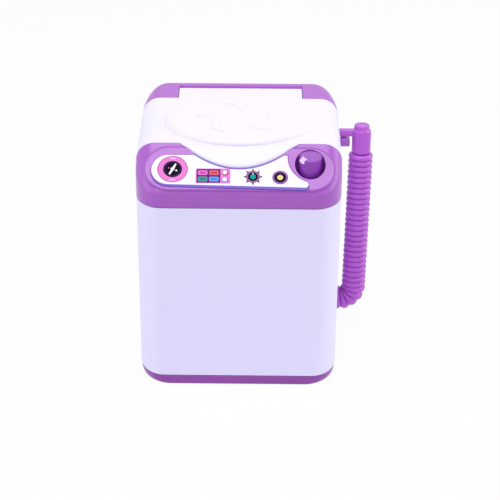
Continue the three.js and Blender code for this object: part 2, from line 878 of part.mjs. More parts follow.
function controlFascia() {
  const region = block(-cabinetWidth, cabinetWidth, -cabinetDepth, lidFront, skirtBottom, rearTopHeight);
  const inside = block(
    -cabinetWidth,
    cabinetWidth,
    -cabinetDepth,
    lidFront - wall,
    skirtBottom - overrun,
    rearTopHeight,
  );
  const form = roofedForm(slopeHeight, 0, skirtBottom).intersect(region);
  const bezel = onSlope(prism(bezelOutline(), -wall, bezelRise)).intersect(
    region.intersect(prism(planOutline(0), skirtBottom, rearTopHeight)),
  );
  let body = join(form, bezel);
  body = cut(body, roofedForm(slopeHeight, wall, skirtBottom - overrun).intersect(inside));
  const wellCup = leaned(rod(knobX, knobY, knobFloor - wall, knobTop, wellRadius + wall, roundSteps));
  body = join(body, wellCup.intersect(join(form, bezel)));
  for (const side of [-1, 1]) {
    const x = side * fasciaScrewX;
    const boss = rod(x, fasciaScrewY, skirtBottom, knobTop, bossRadius);
    body = join(body, boss.intersect(roofedForm(slopeHeight, wall / 2, skirtBottom).intersect(region)));
    body = cut(body, rod(x, fasciaScrewY, skirtBottom - overrun, skirtBottom + screwBite, screwPilot));
  }
  const hole = spindleRadius + runningFit;
  body = cut(
    body,
    leaned(rod(knobX, knobY, knobFloor, rearTopHeight, wellRadius, roundSteps)),
    leaned(rod(knobX, knobY, knobFloor - wall - overrun, knobFloor + overrun, hole, roundSteps)),
  );
  body = cut(body, onSlope(prism(labelOutline(0), bezelRise - labelRecess, bezelRise + overrun)));
  body = cut(body, onSlope(prism(tongueOutline(lidSideGap), -pocketSink, bezelRise + overrun)));
  return body;
}

function controlLabel() {
  const top = bezelRise - labelRecess + gap + labelThickness;
  const plate = prism(labelOutline(gap), bezelRise - labelRecess + gap, top);
  const room = prism(tongueOutline(lidSideGap + gap), -pocketSink, bezelRise + overrun);
  return onSlope(cut(plate, room));
}

function controlKnob() {
  const low = knobFloor + gap;
  const grip = turned(knobX, knobY, [
    [0, low],
    [knobRadius, low],
    [knobRadius, knobTop - knobChamfer],
    [knobRadius - knobChamfer, knobTop],
    [0, knobTop],
  ]);
  const spindleLow = switchTop() - switchHeight + wall;
  const spindle = rod(knobX, knobY, spindleLow, low + overrun, spindleRadius, roundSteps);
  // A facet cut into the upper rim points to the setting.
  const facet = new THREE.BoxGeometry(pointerWidth, knobRadius, knobRadius);
  facet.rotateX(pointerTilt);
  facet.translate(0, -knobRadius, knobTop + (knobRadius - pointerDepth) / 2);
  facet.rotateZ(pointerTurn).translate(knobX, knobY, 0);
  return leaned(join(cut(grip, solid(facet)), spindle));
}

function switchTop() {
  return knobFloor - wall - gap;
}

function switchBody() {
  const top = switchTop();
  const half = switchWidth / 2;
  const box = block(knobX - half, knobX + half, knobY - half, knobY + half, top - switchHeight, top);
  const holeLow = top - switchHeight + wall - gap;
  const hole = rod(knobX, knobY, holeLow, top + overrun, spindleRadius + gap, roundSteps);
  const tail = (side) =>
    block(
      knobX + side * (half / 2) - contactPlate,
      knobX + side * (half / 2) + contactPlate,
      knobY - contactPlate / 2,
      knobY + contactPlate / 2,
      top - switchHeight - wall,
      top - switchHeight + overrun,
    );
  return leaned(join(cut(box, hole), tail(-1), tail(1)));
}

// Lid with its finger tongue, raised oval and moulded hinge

// A comma on the lid: a round head that narrows to a bent point.
function dropOutline(middleX, middleY, turn) {
  const points = [];
  for (let i = 0; i < smallSteps; i++) {
    const around = (2 * Math.PI * i) / smallSteps;
    const along = Math.cos(around);
    const x = (dropLength / 2) * along;
    const y = (dropWidth / 2) * Math.sin(around) * Math.sin(around / 2) + dropBend * along * along;
    points.push([
      middleX + x * Math.cos(turn) - y * Math.sin(turn),
      middleY + x * Math.sin(turn) + y * Math.cos(turn),
    ]);
  }
  return points;
}

function swirlDrops() {
  const bodies = [];
  for (let i = 0; i < dropCount; i++) {
    const turn = (2 * Math.PI * (i + 1 / 4)) / dropCount;
    const outline = dropOutline(
      (padHalfWidth - dropFromEndX) * Math.cos(turn),
      padMiddleY + (padHalfDepth - dropFromEndY) * Math.sin(turn),
      turn + Math.PI * dropLeanShare,
    );
    bodies.push(prism(outline, seamHeight, rearTopHeight + 2 * padRise));
  }
  return join(...bodies);
}

function ellipseRing(reachX, reachY, z) {
  const ring = [];
  for (let i = 0; i < roundSteps; i++) {
    const turn = (2 * Math.PI * i) / roundSteps;
    ring.push([reachX * Math.cos(turn), padMiddleY + reachY * Math.sin(turn), z]);
  }
  return ring;
}

function lidRegion() {
  const front = lidFront + lidSideGap;
  const back = frameFront - lidSideGap;
  const tab = tabHalfWidth;
  return prism(
    [
      [-cabinetWidth, front],
      [cabinetWidth, front],
      [cabinetWidth, back],
      [tab, back],
      [tab, hingeY],
      [-tab, hingeY],
      [-tab, back],
      [-cabinetWidth, back],
    ],
    seamHeight - overrun,
    rearTopHeight + shoulderRadius,
  );
}

function tongue() {
  // Section along Y: the top runs on over the fascia, bends and follows the slope.
  const offset = (y, rise) => slopeHeight(y) + rise / Math.cos(slopeAngle);
  const back = lidFront + 3 * lidWall;
  const bendY =
    lidFront + (-tongueRise / Math.cos(slopeAngle)) / (Math.tan(slopeAngle) - crownSlope());
  const tipY = -halfDepth;
  const section = [
    [back, crownHeight(back)],
    [bendY + lidWall, crownHeight(bendY + lidWall)],
    [bendY, crownHeight(bendY) - tongueRise / 4],
    [bendY - lidWall, offset(bendY - lidWall, tongueRise)],
    [tipY, offset(tipY, tongueRise)],
    [tipY, offset(tipY, -tongueSink)],
    [lidFront + lidSideGap, offset(lidFront + lidSideGap, -tongueSink)],
    [back, crownHeight(back) - lidWall],
  ];
  const bar = barAlongX(section.reverse(), -tongueHalfWidth, tongueHalfWidth);
  const outline = onSlope(prism(tongueOutline(0), -2 * wall, 2 * rearEdgeRadius + wall));
  const behind = block(
    -tongueHalfWidth,
    tongueHalfWidth,
    lidFront + lidSideGap,
    back,
    seamHeight,
    rearTopHeight,
  );
  return bar.intersect(join(outline, behind));
}

function lid() {
  const outer = roofedForm(crownHeight, 0, seamHeight);
  const hollow = roofedForm(crownHeight, lidWall, seamHeight - overrun);
  const shell = cut(outer, hollow).intersect(lidRegion());
  // The front edge leans back so that it swings up clear of the fascia.
  const relief = barAlongX(
    [
      [lidFront - overrun, seamHeight - overrun],
      [lidFront + lidSideGap + swingRelief, seamHeight - overrun],
      [lidFront + lidSideGap, frontTopHeight - lidWall],
      [lidFront - overrun, frontTopHeight - lidWall],
    ],
    -cabinetWidth,
    cabinetWidth,
  );
  const padInX = padHalfWidth - 2 * padBevel;
  const padInY = padHalfDepth - 2 * padBevel;
  const padSides = loft([
    ellipseRing(padHalfWidth, padHalfDepth, crownHeight(lidFront) - padBevel),
    ellipseRing(padHalfWidth, padHalfDepth, crownHeight(lidFront)),
    ellipseRing(padInX, padInY, crownHeight(hingeY) + 2 * padRise),
  ]);
  const raised = underCrown(padRise, seamHeight);
  const higher = underCrown(padRise + dropRise, seamHeight);
  const cover = underCrown(-lidWall / 2, seamHeight - overrun);
  const room = block(
    -cabinetWidth,
    cabinetWidth,
    lidFront + lidSideGap - 4 * padRise,
    frameFront - lidSideGap,
    seamHeight,
    rearTopHeight + shoulderRadius,
  );
  const drops = swirlDrops().intersect(padSides).intersect(higher);
  const pad = cut(join(padSides.intersect(raised), drops), cover);
  let body = join(cut(shell, relief), tongue(), pad.intersect(room));
  // Moulded hinge: a round knuckle across the tab with a pin at each end.
  const knuckle = rodAlongX(-tabHalfWidth, tabHalfWidth, hingeY, hingeZ, knuckleRadius);
  const pinReach = tabHalfWidth + hingePinLength;
  const pins = rodAlongX(-pinReach, pinReach, hingeY, hingeZ, hingePinRadius, roundSteps);
  body = join(body, knuckle, pins);
  return body;
}

// Rear frame with the two hinge blocks

function frameRegion(inset) {
  const inner = tabHalfWidth + lidSideGap + inset;
  const front = frameFront + inset;
  const strip = hingeY + knuckleRadius + lidSideGap + inset;
  return prism(
    [
      [-cabinetWidth, front],
      [-inner, front],
      [-inner, strip],
      [inner, strip],
      [inner, front],
      [cabinetWidth, front],
      [cabinetWidth, cabinetDepth],
      [-cabinetWidth, cabinetDepth],
    ],
    seamHeight - overrun,
    rearTopHeight + shoulderRadius,
  );
}

function rearFrame() {
  const outer = roofedForm(crownHeight, 0, seamHeight).intersect(frameRegion(0));
  const hollow = roofedForm(crownHeight, wall, seamHeight - overrun).intersect(frameRegion(wall));
  let body = cut(outer, hollow);
  const pinReach = tabHalfWidth + hingePinLength + lidSideGap;
  body = cut(body, rodAlongX(-pinReach, pinReach, hingeY, hingeZ, hingePinRadius + runningFit, roundSteps));
  // The strip's front edge is bevelled so that the opened lid leans back.
  const stripFront = hingeY + knuckleRadius + lidSideGap;
  const bevel = barAlongX(
    [
      [stripFront - overrun, crownHeight(stripFront) - wall],
      [stripFront, crownHeight(stripFront) - wall],
      [stripFront + wall, crownHeight(stripFront) + overrun],
      [stripFront - overrun, crownHeight(stripFront) + overrun],
    ],
    -tabHalfWidth - lidSideGap,
    tabHalfWidth + lidSideGap,
  );
  body = cut(body, bevel);
  for (const side of [-1, 1]) {
    const x = side * frameScrewX;
    const boss = rod(x, frameScrewY, seamHeight, rearTopHeight, bossRadius);
    const room = roofedForm(crownHeight, wall / 2, seamHeight).intersect(frameRegion(wall / 2));
    body = join(body, boss.intersect(room));
    body = cut(body, rod(x, frameScrewY, seamHeight - overrun, seamHeight + screwBite, screwPilot));
  }
  return body;
}

// Wash tub with its deck, basket and pulsator

function washTub() {
  const deckBottom = deckTop - deckThickness;
  const deckRoom = block(-cabinetWidth, cabinetWidth, lidFront + gap, cabinetDepth, deckBottom, deckTop);
  const deck = prism(planOutline(wall + gap), deckBottom, deckTop).intersect(deckRoom);
  const cup = turned(0, drumY, [
    [0, tubBottom],
    [tubRadius - tubCorner, tubBottom],
    [tubRadius, tubBottom + tubCorner],
    [tubRadius, deckBottom + deckThickness / 2],
    [0, deckBottom + deckThickness / 2],
  ]);
  const hub = rod(0, drumY, hubBottom, tubBottom + tubWall, hubRadius);
  const space = turned(0, drumY, [
    [0, tubBottom + tubWall],
    [tubRadius - tubCorner - tubWall / 2, tubBottom + tubWall],
    [tubRadius - tubWall, tubBottom + tubCorner + tubWall / 2],
    [tubRadius - tubWall, deckTop + overrun],
    [0, deckTop + overrun],
  ]);
  let body = cut(join(deck, cup, hub), space);
  body = cut(
    body,
    rod(0, drumY, hubBottom - overrun, hubBottom + bushLength, bushRadius + gap, roundSteps),
    rod(0, drumY, hubBottom, tubBottom + 2 * tubWall, shaftRadius + gap, roundSteps),
  );
  const spout = rod(drainX, drainY, hubBottom, tubBottom + tubWall, drainTubeRadius);
  body = join(body, spout);
  body = cut(body, rod(drainX, drainY, hubBottom - overrun, tubBottom + 2 * tubWall, drainBore));
  for (const side of [-1, 1]) {
    const x = side * standoffX;
    body = join(body, rod(x, drumY, plateTop + gap, tubBottom + tubWall / 2, standoffRadius));
    body = cut(body, rod(x, drumY, plateTop, plateTop + screwBite, screwPilot));
    body = cut(
      body,
      rod(side * frameScrewX, frameScrewY, deckBottom - overrun, deckTop + overrun, screwPilot),
    );
  }
  return body;
}

function spinBasket() {
  const cup = turned(0, drumY, [
    [0, basketBottom],
    [basketRadius - basketCorner, basketBottom],
    [basketRadius, basketBottom + basketCorner],
    [basketRadius, basketTop - 2 * basketRim],
    [basketRadius + basketRim, basketTop - basketRim],
    [basketRadius + basketRim, basketTop],
    [basketRadius - basketWall, basketTop],
    [basketRadius - basketWall, basketBottom + basketCorner + basketWall / 2],
    [basketRadius - basketCorner - basketWall / 2, basketBottom + basketWall],
    [0, basketBottom + basketWall],
  ]);
  const boreTop = basketBottom + 2 * basketWall;
  let body = cut(cup, rod(0, drumY, basketBottom - overrun, boreTop, shaftRadius, roundSteps));
  const pitch = (basketTop - basketBottom) / (slotRows + 1 / 2);
  for (let row = 0; row < slotRows; row++)
    for (let i = 0; i < slotCount / 2; i++) {
      const z = basketBottom + pitch * (row + 3 / 4);
      const slot = new THREE.BoxGeometry(slotWidth, 3 * basketRadius, slotLength);
      slot.rotateZ((2 * Math.PI * (i + row / 2)) / slotCount).translate(0, drumY, z);
      body = cut(body, solid(slot));
    }
  return body;
}

function pulsator() {
  const low = basketBottom + basketWall + gap;
  const disc = turned(0, drumY, [
    [0, low],
    [pulsatorRadius, low],
    [pulsatorRadius, low + pulsatorDisc / 2],
    [pulsatorRadius / 2, low + pulsatorDisc],
    [hubRadius, low + pulsatorDisc + pulsatorDome],
    [0, low + pulsatorDisc + pulsatorDome + overrun],
  ]);
  const vanes = [];
  for (let i = 0; i < vaneCount; i++) {
    const vane = new THREE.BoxGeometry(pulsatorRadius - wall, vaneThickness, vaneHeight);
    vane.translate((pulsatorRadius - wall) / 2, 0, low + vaneHeight / 2 + pulsatorDisc / 4);
    vane.rotateZ((2 * Math.PI * i) / vaneCount + Math.PI / 4).translate(0, drumY, 0);
    vanes.push(solid(vane));
  }
  const hole = rod(0, drumY, low - overrun, low + pulsatorDisc + overrun, shaftRadius, roundSteps);
  return cut(join(disc, ...vanes), hole);
}

// Drive train

function driveShaft() {
  return turned(0, drumY, [
    [0, shaftBottom],
    [shaftRadius - gap, shaftBottom],
    [shaftRadius - gap / 2, shaftBottom + gap],
    [shaftRadius - gap / 2, basketBottom + basketWall + gap + pulsatorDisc],
    [0, basketBottom + basketWall + gap + pulsatorDisc],
  ]);
}

function ring(x, y, low, high, inner, outer) {
  return cut(
    rod(x, y, low, high, outer, ringSteps),
    rod(x, y, low - overrun, high + overrun, inner, ringSteps),
  );
}

const shaftInBush = shaftRadius - gap / 2 + runningFit;

// The outline of a gear, from the involute of its base circle.
function gearOutline(teeth, thin) {
  const pitch = (toothModule * teeth) / 2;
  const base = pitch * Math.cos(pressureAngle);
  const outer = pitch + toothModule;
  const root = pitch - rootShare * toothModule;
  const involute = (radius) => {
    const angle = Math.acos(Math.min(1, base / radius));
    return Math.tan(angle) - angle;
  };
  const halfAtPitch = Math.PI / (2 * teeth) - thin / (2 * pitch);
  const half = (radius) => halfAtPitch + involute(pitch) - involute(Math.max(radius, base));
  const flanks = [root, pitch, outer];
  const points = [];
  for (let i = 0; i < teeth; i++) {
    const middle = (2 * Math.PI * i) / teeth;
    for (const radius of flanks) {
      const angle = middle - half(radius);
      points.push([radius * Math.cos(angle), radius * Math.sin(angle)]);
    }
    for (const radius of [...flanks].reverse()) {
      const angle = middle + half(radius);
      points.push([radius * Math.cos(angle), radius * Math.sin(angle)]);
    }
  }
  return points;
}

function placed(points, x, y, turn) {
  return points.map(([px, py]) => [
    x + px * Math.cos(turn) - py * Math.sin(turn),
    y + px * Math.sin(turn) + py * Math.cos(turn),
  ]);
}

function driveGear() {
  const teeth = prism(
    placed(gearOutline(gearTeeth, backlash), 0, drumY, Math.PI / 2),
    gearBottom,
    gearBottom + gearThickness,
  );
  const hub = rod(0, drumY, gearBottom - gap, gearBottom + gearThickness + gap, gearHubRadius);
  const holes = [];
  for (let i = 0; i < gearHoles; i++) {
    const turn = (2 * Math.PI * i) / gearHoles;
    const radius = (gearHubRadius + gearPitchRadius) / 2;
    holes.push(
      rod(
        radius * Math.cos(turn),
        drumY + radius * Math.sin(turn),
        gearBottom - overrun,
        gearBottom + gearThickness + overrun,
        gearHubRadius / 2,
        screwSteps,
      ),
    );
  }
  const boreTop = gearBottom + gearThickness + 2 * overrun;
  const bore = rod(0, drumY, gearBottom - 2 * overrun, boreTop, shaftRadius, roundSteps);
  return cut(join(teeth, hub), bore, ...holes);
}

function motorPinion() {
  const turn = -Math.PI / 2 + Math.PI / pinionTeeth;
  const low = gearBottom - pinionOverlap;
  const high = gearBottom + gearThickness + pinionOverlap;
  const teeth = prism(placed(gearOutline(pinionTeeth, backlash), 0, motorY, turn), low, high);
  return cut(teeth, rod(0, motorY, low - overrun, high + overrun, motorShaftRadius + gap / 2, smallSteps));
}

function motorShaft() {
  const low = motorTop - motorLength / 2;
  return rod(0, motorY, low, gearBottom + gearThickness + pinionOverlap, motorShaftRadius, smallSteps);
}

function gearPlate() {
  const front = drumY - hubRadius - wall;
  const barBack = drumY + standoffRadius + wall;
  const bar = block(-plateHalfWidth, plateHalfWidth, front, barBack, plateBottom, plateTop);
  const motorHalf = motorRadius + gap + wall;
  const bed = block(-motorHalf, motorHalf, front, motorY + motorFlat + wall, plateBottom, plateTop);
  const bushSeat = rod(0, drumY, shaftBottom - gap, plateTop, bushRadius + wall);
  let body = join(bar, bed, bushSeat);
  const above = plateTop + overrun;
  body = cut(
    body,
    rod(0, drumY, shaftBottom - overrun, above, bushRadius + gap / 2, roundSteps),
    rod(0, motorY, plateBottom - overrun, above, motorBossRadius + gap, roundSteps),
  );
  for (const side of [-1, 1]) {
    body = cut(
      body,
      rod(side * standoffX, drumY, plateBottom - overrun, plateTop + overrun, screwPilot),
    );
    // A wall on each side of the motor keeps it from turning.
    const inner = side * (motorRadius + gap);
    const outer = inner + side * wall;
    body = join(
      body,
      block(
        Math.min(inner, outer),
        Math.max(inner, outer),
        motorY - motorFlat,
        motorY + motorFlat,
        motorTop - motorLength / 2,
        plateBottom + wall / 2,
      ),
    );
  }
  return body;
}

function motorOutline(radius, flat) {
  const points = [];
  const reach = Math.sqrt(radius * radius - flat * flat);
  const from = Math.atan2(-flat, reach);
  const to = Math.atan2(flat, reach);
  for (const start of [0, Math.PI])
    for (let i = 0; i <= motorArcSteps; i++) {
      const angle = start + from + ((to - from) * i) / motorArcSteps;
      points.push([radius * Math.cos(angle), motorY + radius * Math.sin(angle)]);
    }
  return points;
}

function motorCan() {
  const can = prism(motorOutline(motorRadius, motorFlat), motorTop - motorLength, motorTop);
  const boss = rod(0, motorY, motorTop - overrun, motorTop + motorBossHeight, motorBossRadius, roundSteps);
  const bore = rod(
    0,
    motorY,
    motorTop - motorLength / 2 - gap,
    motorTop + 2 * motorBossHeight,
    motorShaftRadius + runningFit,
    roundSteps,
  );
  return cut(join(can, boss), bore);
}

function motorCap() {
  const cap = prism(
    motorOutline(motorRadius - gap, motorFlat - gap),
    motorBottom,
    motorTop - motorLength - gap,
  );
  const tail = (side) =>
    block(
      side * (motorRadius / 2) - contactPlate,
      side * (motorRadius / 2) + contactPlate,
      motorY - motorFlat - wall,
      motorY - motorFlat + wall,
      motorBottom + wall / 2,
      motorBottom + wall / 2 + contactPlate,
    );
  return join(cap, tail(-1), tail(1));
}

// Drain pipe, outlet, hose and its holder

const spigotInner = halfWidth - draftAt(outletHeight) - wall - gap - spigotFlange;
const spigotOuter = halfWidth - draftAt(outletHeight) + gap;
const hoseStartX = spigotOuter + spigotFlange + gap;

function drainPipe() {
  const top = hubBottom - gap;
  const route = [
    [drainX, drainY, top],
    [drainX, drainY, outletHeight],
    [spigotInner - gap, drainY, outletHeight],
  ];
  return cut(
    pipe(route, drainTubeRadius, drainBend, smallSteps, drainBendSteps),
    pipe(
      [
        [drainX, drainY, top + overrun],
        [drainX, drainY, outletHeight],
        [spigotInner - gap + overrun, drainY, outletHeight],
      ],
      drainBore,
      drainBend,
      smallSteps / 2,
      drainBendSteps,
    ),
  );
}

function outletSpigot() {
  const flange = (x, radius) => rodAlongX(x, x + spigotFlange, drainY, outletHeight, radius);
  const neck = rodAlongX(spigotInner, hoseStartX + spigotNeck, drainY, outletHeight, spigotRadius - gap);
  const bore = rodAlongX(
    spigotInner - overrun,
    hoseStartX + spigotNeck + overrun,
    drainY,
    outletHeight,
    drainBore,
    smallSteps / 2,
  );
  const inside = flange(spigotInner, spigotInnerRadius);
  const outside = flange(spigotOuter, spigotFlangeRadius);
  return cut(join(inside, neck, outside), bore);
}

// The hose's middle line: out of the wall, round a bend and up to the nozzle, leaning out slightly.
const bendCentreX = hoseFootX - hoseBend;
const bendCentreZ = outletHeight + hoseBend;
const topFromBend = Math.hypot(hoseTopX - bendCentreX, hoseTop - bendCentreZ);
const hoseLean =
  Math.atan2(hoseTopX - bendCentreX, hoseTop - bendCentreZ) - Math.asin(hoseBend / topFromBend);
const hoseStraight = Math.sqrt(topFromBend * topFromBend - hoseBend * hoseBend);
const bendTurn = Math.PI / 2 - hoseLean;
const hoseRun = bendCentreX - hoseStartX;
const hoseArc = hoseBend * bendTurn;

// Place and direction on the middle line at a distance from the outlet end.
function hoseAt(distance) {
  if (distance < hoseRun) return [hoseStartX + distance, bendCentreZ - hoseBend, 0];
  if (distance < hoseRun + hoseArc) {
    const turn = (distance - hoseRun) / hoseBend;
    return [
      bendCentreX + hoseBend * Math.sin(turn),
      bendCentreZ - hoseBend * Math.cos(turn),
      turn,
    ];
  }
  const rest = distance - hoseRun - hoseArc;
  return [
    bendCentreX + hoseBend * Math.sin(bendTurn) + rest * Math.cos(bendTurn),
    bendCentreZ - hoseBend * Math.cos(bendTurn) + rest * Math.sin(bendTurn),
    bendTurn,
  ];
}

function hoseRing(distance, radius) {
  const [x, z, turn] = hoseAt(distance);
  const ringPoints = [];
  for (let i = 0; i < hoseSides; i++) {
    const around = (2 * Math.PI * i) / hoseSides;
    const out = radius * Math.cos(around);
    ringPoints.push([
      x + out * Math.sin(turn),
      drainY + radius * Math.sin(around),
      z - out * Math.cos(turn),
    ]);
  }
  return ringPoints;
}

function drainHose() {
  const length = hoseRun + hoseArc + hoseStraight - gap;
  const ribs = Math.round(length / ribPitch);
  const pitch = length / ribs;
  const crests = [];
  for (let i = 0; i < ribs; i++) {
    crests.push(hoseRing(pitch * i, hoseValley));
    crests.push(hoseRing(pitch * i + pitch / 2, hoseCrest));
  }
  crests.push(hoseRing(length, hoseValley));
  const bores = [hoseRing(-overrun, hoseBore)];
  for (let i = 1; pitch * i < hoseRun + hoseArc + pitch; i++) bores.push(hoseRing(pitch * i, hoseBore));
  bores.push(hoseRing(length + overrun, hoseBore));
  return cut(loft(crests), loft(bores));
}

function hoseNozzle() {
  const x = hoseTopX;
  const body = turned(x, drainY, [
    [0, hoseTop + gap],
    [nozzleRadius, hoseTop + gap],
    [nozzleRadius, nozzleShoulder - wall / 2],
    [nozzleTipRadius, nozzleShoulder + wall / 4],
    [nozzleTipRadius, nozzleTop - wall / 2],
    [nozzleTipRadius - wall / 2, nozzleTop],
    [0, nozzleTop],
  ]);
  const plug = rod(x, drainY, hoseTop - 2 * ribPitch, hoseTop + overrun, hoseBore - 2 * gap);
  const bore = rod(x, drainY, hoseTop - 3 * ribPitch, nozzleTop - nozzleEnd, nozzleBore);
  const wallX = halfWidth + gap;
  const arm = block(
    wallX,
    x,
    drainY - armWidth / 2,
    drainY + armWidth / 2,
    armBottom,
    armBottom + armHeight,
  );
  const peg = rod(pegX, drainY, pegBottom, armBottom + overrun, pegRadius);
  return cut(join(body, plug, arm, peg), bore);
}

// The part of the holder that goes through the cabinet wall, larger by grow on every side.
function holderTenon(grow) {
  const quarter = holderHeight / 4;
  return block(
    halfWidth - wall - 2 * gap - grow,
    halfWidth + overrun,
    drainY - holderWidth / 4 - grow,
    drainY + holderWidth / 4 + grow,
    holderTop - 3 * quarter - grow,
    holderTop - quarter + grow,
  );
}

function hoseHolder() {
  const x0 = halfWidth + gap;
  const arm = block(
    x0,
    x0 + holderReach,
    drainY - holderWidth / 2,
    drainY + holderWidth / 2,
    holderTop - holderHeight,
    holderTop,
  );
  const slot = join(
    block(
      pegX - holderSlot,
      pegX + holderSlot,
      drainY,
      drainY + holderWidth,
      holderTop - holderHeight - overrun,
      holderTop + overrun,
    ),
    rod(pegX, drainY, holderTop - holderHeight - overrun, holderTop + overrun, holderSlot),
  );
  return join(cut(arm, slot), holderTenon(0));
}

// Wires

const wireUpX = postX - bossRadius - 2 * wall;
const wireUpY = -halfDepth + cornerAlongY / 2;

function wireToSwitch() {
  const x = bayHalfLength - gap - contactPlate / 2;
  const y = cellRows[0];
  const start = bayWallTop + wall + gap + wireRadius;
  const [switchY, end] = leanedPlace(switchTop() - switchHeight - wall - gap);
  return pipe(
    [
      [x, y, start],
      [x, y, start + 3 * wall],
      [wireUpX, wireUpY, start + 6 * wall],
      [wireUpX, wireUpY, end - 4 * wall],
      [knobX + switchWidth / 4, switchY, end - 2 * wall],
      [knobX + switchWidth / 4, switchY, end],
    ],
    wireRadius,
    wall,
    wireSides,
    wireBendSteps,
  );
}

function wireFromSwitch() {
  const [switchY, end] = leanedPlace(switchTop() - switchHeight - wall - gap);
  const low = motorBottom + wall / 2 + contactPlate + wireRadius + gap;
  const x = wireUpX - 3 * wall;
  return pipe(
    [
      [knobX - switchWidth / 4, switchY, end],
      [knobX - switchWidth / 4, switchY, end - 3 * wall],
      [x, wireUpY + wall, end - 6 * wall],
      [x, wireUpY + wall, low + 8 * wall],
      [x, motorY - motorFlat - 3 * wall, low],
      [motorRadius / 2, motorY - motorFlat - 3 * wall, low],
      [motorRadius / 2, motorY - motorFlat - wall / 2, low],
    ],
    wireRadius,
    wall,
    wireSides,
    wireBendSteps,
  );
}

function wireToMotor() {
  const x = bayHalfLength - gap - contactPlate / 2;
  const y = cellRows[1];
  const start = bayWallTop + wall + gap + wireRadius;
  const low = motorBottom + wall / 2 + contactPlate + wireRadius + gap;
  return pipe(
    [
      [x, y, start],
      [x, y, start + 2 * wall],
      [-motorRadius / 2, motorY - motorFlat - 2 * wall, start + 2 * wall],
      [-motorRadius / 2, motorY - motorFlat - wall / 2, low + 2 * wall],
      [-motorRadius / 2, motorY - motorFlat - wall / 2, low],
    ],
    wireRadius,
    wall,
    wireSides,
    wireBendSteps,
  );
}

// Materials

function plastic(colour, roughness = 0.35) {
  return new THREE.MeshStandardMaterial({ color: colour, roughness, metalness: 0 });
}

function metal(colour, roughness = 0.3) {
  return new THREE.MeshStandardMaterial({ color: colour, roughness, metalness: 1 });
}

const white = plastic("#f4f1fc");
const purple = plastic("#b070d4");
const deepPurple = plastic("#a050c0");
const hosePurple = plastic("#b25fcb", 0.45);
const labelWhite = plastic("#fbf7fb", 0.5);
const innerWhite = plastic("#f7f6fa");
const gearIvory = plastic("#efe9d8", 0.5);
const black = plastic("#1c1a20", 0.5);
const rubber = plastic("#5a5660", 0.8);
const steel = metal("#b9bcc2");
const brass = metal("#c9a654");
const cellPaint = plastic("#3a6fb0", 0.4);
const redWire = plastic("#c8322e", 0.5);
const blackWire = plastic("#26242a", 0.5);
const yellowWire = plastic("#d8b83a", 0.5);

// Assembly

const machine = new THREE.Group();
machine.position.x = machineShift;

function piece(name, body, material) {
  const mesh = new THREE.Mesh(geometryOf(body), material);
  mesh.name = name;
  machine.add(mesh);
}

piece("base_tray", baseTray(), deepPurple);
piece("battery_door", batteryDoor(), deepPurple);
const doorScrewHead = screwHeadHeight / 2;
piece("battery_door_screw", screwUp(0, doorScrewY, doorScrewHead + gap / 2, baseTop, doorScrewHead), steel);
postPlaces.forEach(([x, y], i) =>
  piece("base_screw_" + (i + 1), screwUp(x, y, screwHeadHeight + gap, baseTop + screwBite / 2), steel),
);
piece("cabinet", cabinet(), white);
piece("battery_cell_front", batteryCell(cellRows[0], 1), cellPaint);
piece("battery_cell_rear", batteryCell(cellRows[1], -1), cellPaint);
piece("contact_bridge", contactBridge(), steel);
piece("contact_tab_front", contactTab(0), steel);
piece("contact_tab_rear", contactTab(1), steel);
piece("contact_spring_left", coilSpring(-1, 0), steel);
piece("contact_spring_right", coilSpring(1, 1), steel);
piece("control_fascia", controlFascia(), purple);
piece("control_label", controlLabel(), labelWhite);
piece("control_knob", controlKnob(), deepPurple);
piece("switch_body", switchBody(), black);
[-1, 1].forEach((side, i) => {
  const x = side * fasciaScrewX;
  const z = skirtBottom - gap - tabThickness - gap;
  piece("fascia_screw_" + ["left", "right"][i], screwUp(x, fasciaScrewY, z, screwBite), steel);
});
piece("lid", lid(), white);
piece("rear_frame", rearFrame(), purple);
[-1, 1].forEach((side, i) => {
  const x = side * frameScrewX;
  const z = deckTop - deckThickness - gap - ledgeThickness - gap;
  const length = deckThickness + ledgeThickness + screwBite - wall;
  piece("frame_screw_" + ["left", "right"][i], screwUp(x, frameScrewY, z, length), steel);
});
piece("wash_tub", washTub(), innerWhite);
piece("spin_basket", spinBasket(), innerWhite);
piece("pulsator", pulsator(), purple);
piece("drive_shaft", driveShaft(), steel);
piece(
  "shaft_bush_upper",
  ring(0, drumY, hubBottom, hubBottom + bushLength - gap, shaftInBush, bushRadius),
  brass,
);
piece("shaft_bush_lower", ring(0, drumY, shaftBottom, plateTop, shaftInBush, bushRadius), brass);
const sealBottom = tubBottom + tubWall + gap;
piece(
  "shaft_seal",
  ring(0, drumY, sealBottom, sealBottom + sealHeight, shaftInBush, sealRadius),
  rubber,
);
piece("drive_gear", driveGear(), gearIvory);
piece("motor_pinion", motorPinion(), gearIvory);
piece("motor_shaft", motorShaft(), steel);
piece("gear_plate", gearPlate(), gearIvory);
[-1, 1].forEach((side, i) => {
  const name = "plate_screw_" + ["left", "right"][i];
  piece(name, screwUp(side * standoffX, drumY, plateBottom - gap, screwBite), steel);
});
piece("motor_can", motorCan(), steel);
piece("motor_end_cap", motorCap(), labelWhite);
piece("drain_pipe", drainPipe(), innerWhite);
piece("outlet_spigot", outletSpigot(), deepPurple);
piece("drain_hose", drainHose(), hosePurple);
piece("hose_nozzle", hoseNozzle(), purple);
piece("hose_holder", hoseHolder(), purple);
piece("wire_cell_to_switch", wireToSwitch(), redWire);
piece("wire_switch_to_motor", wireFromSwitch(), yellowWire);
piece("wire_cell_to_motor", wireToMotor(), blackWire);

export default machine;
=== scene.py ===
"""Toy washing machine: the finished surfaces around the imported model.

Shapes are worked out in millimetres in the machine's own frame: x = 0 is the middle of the cabinet, the front
looks along -Y and the machine stands on z = 0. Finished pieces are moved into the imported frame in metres.
"""

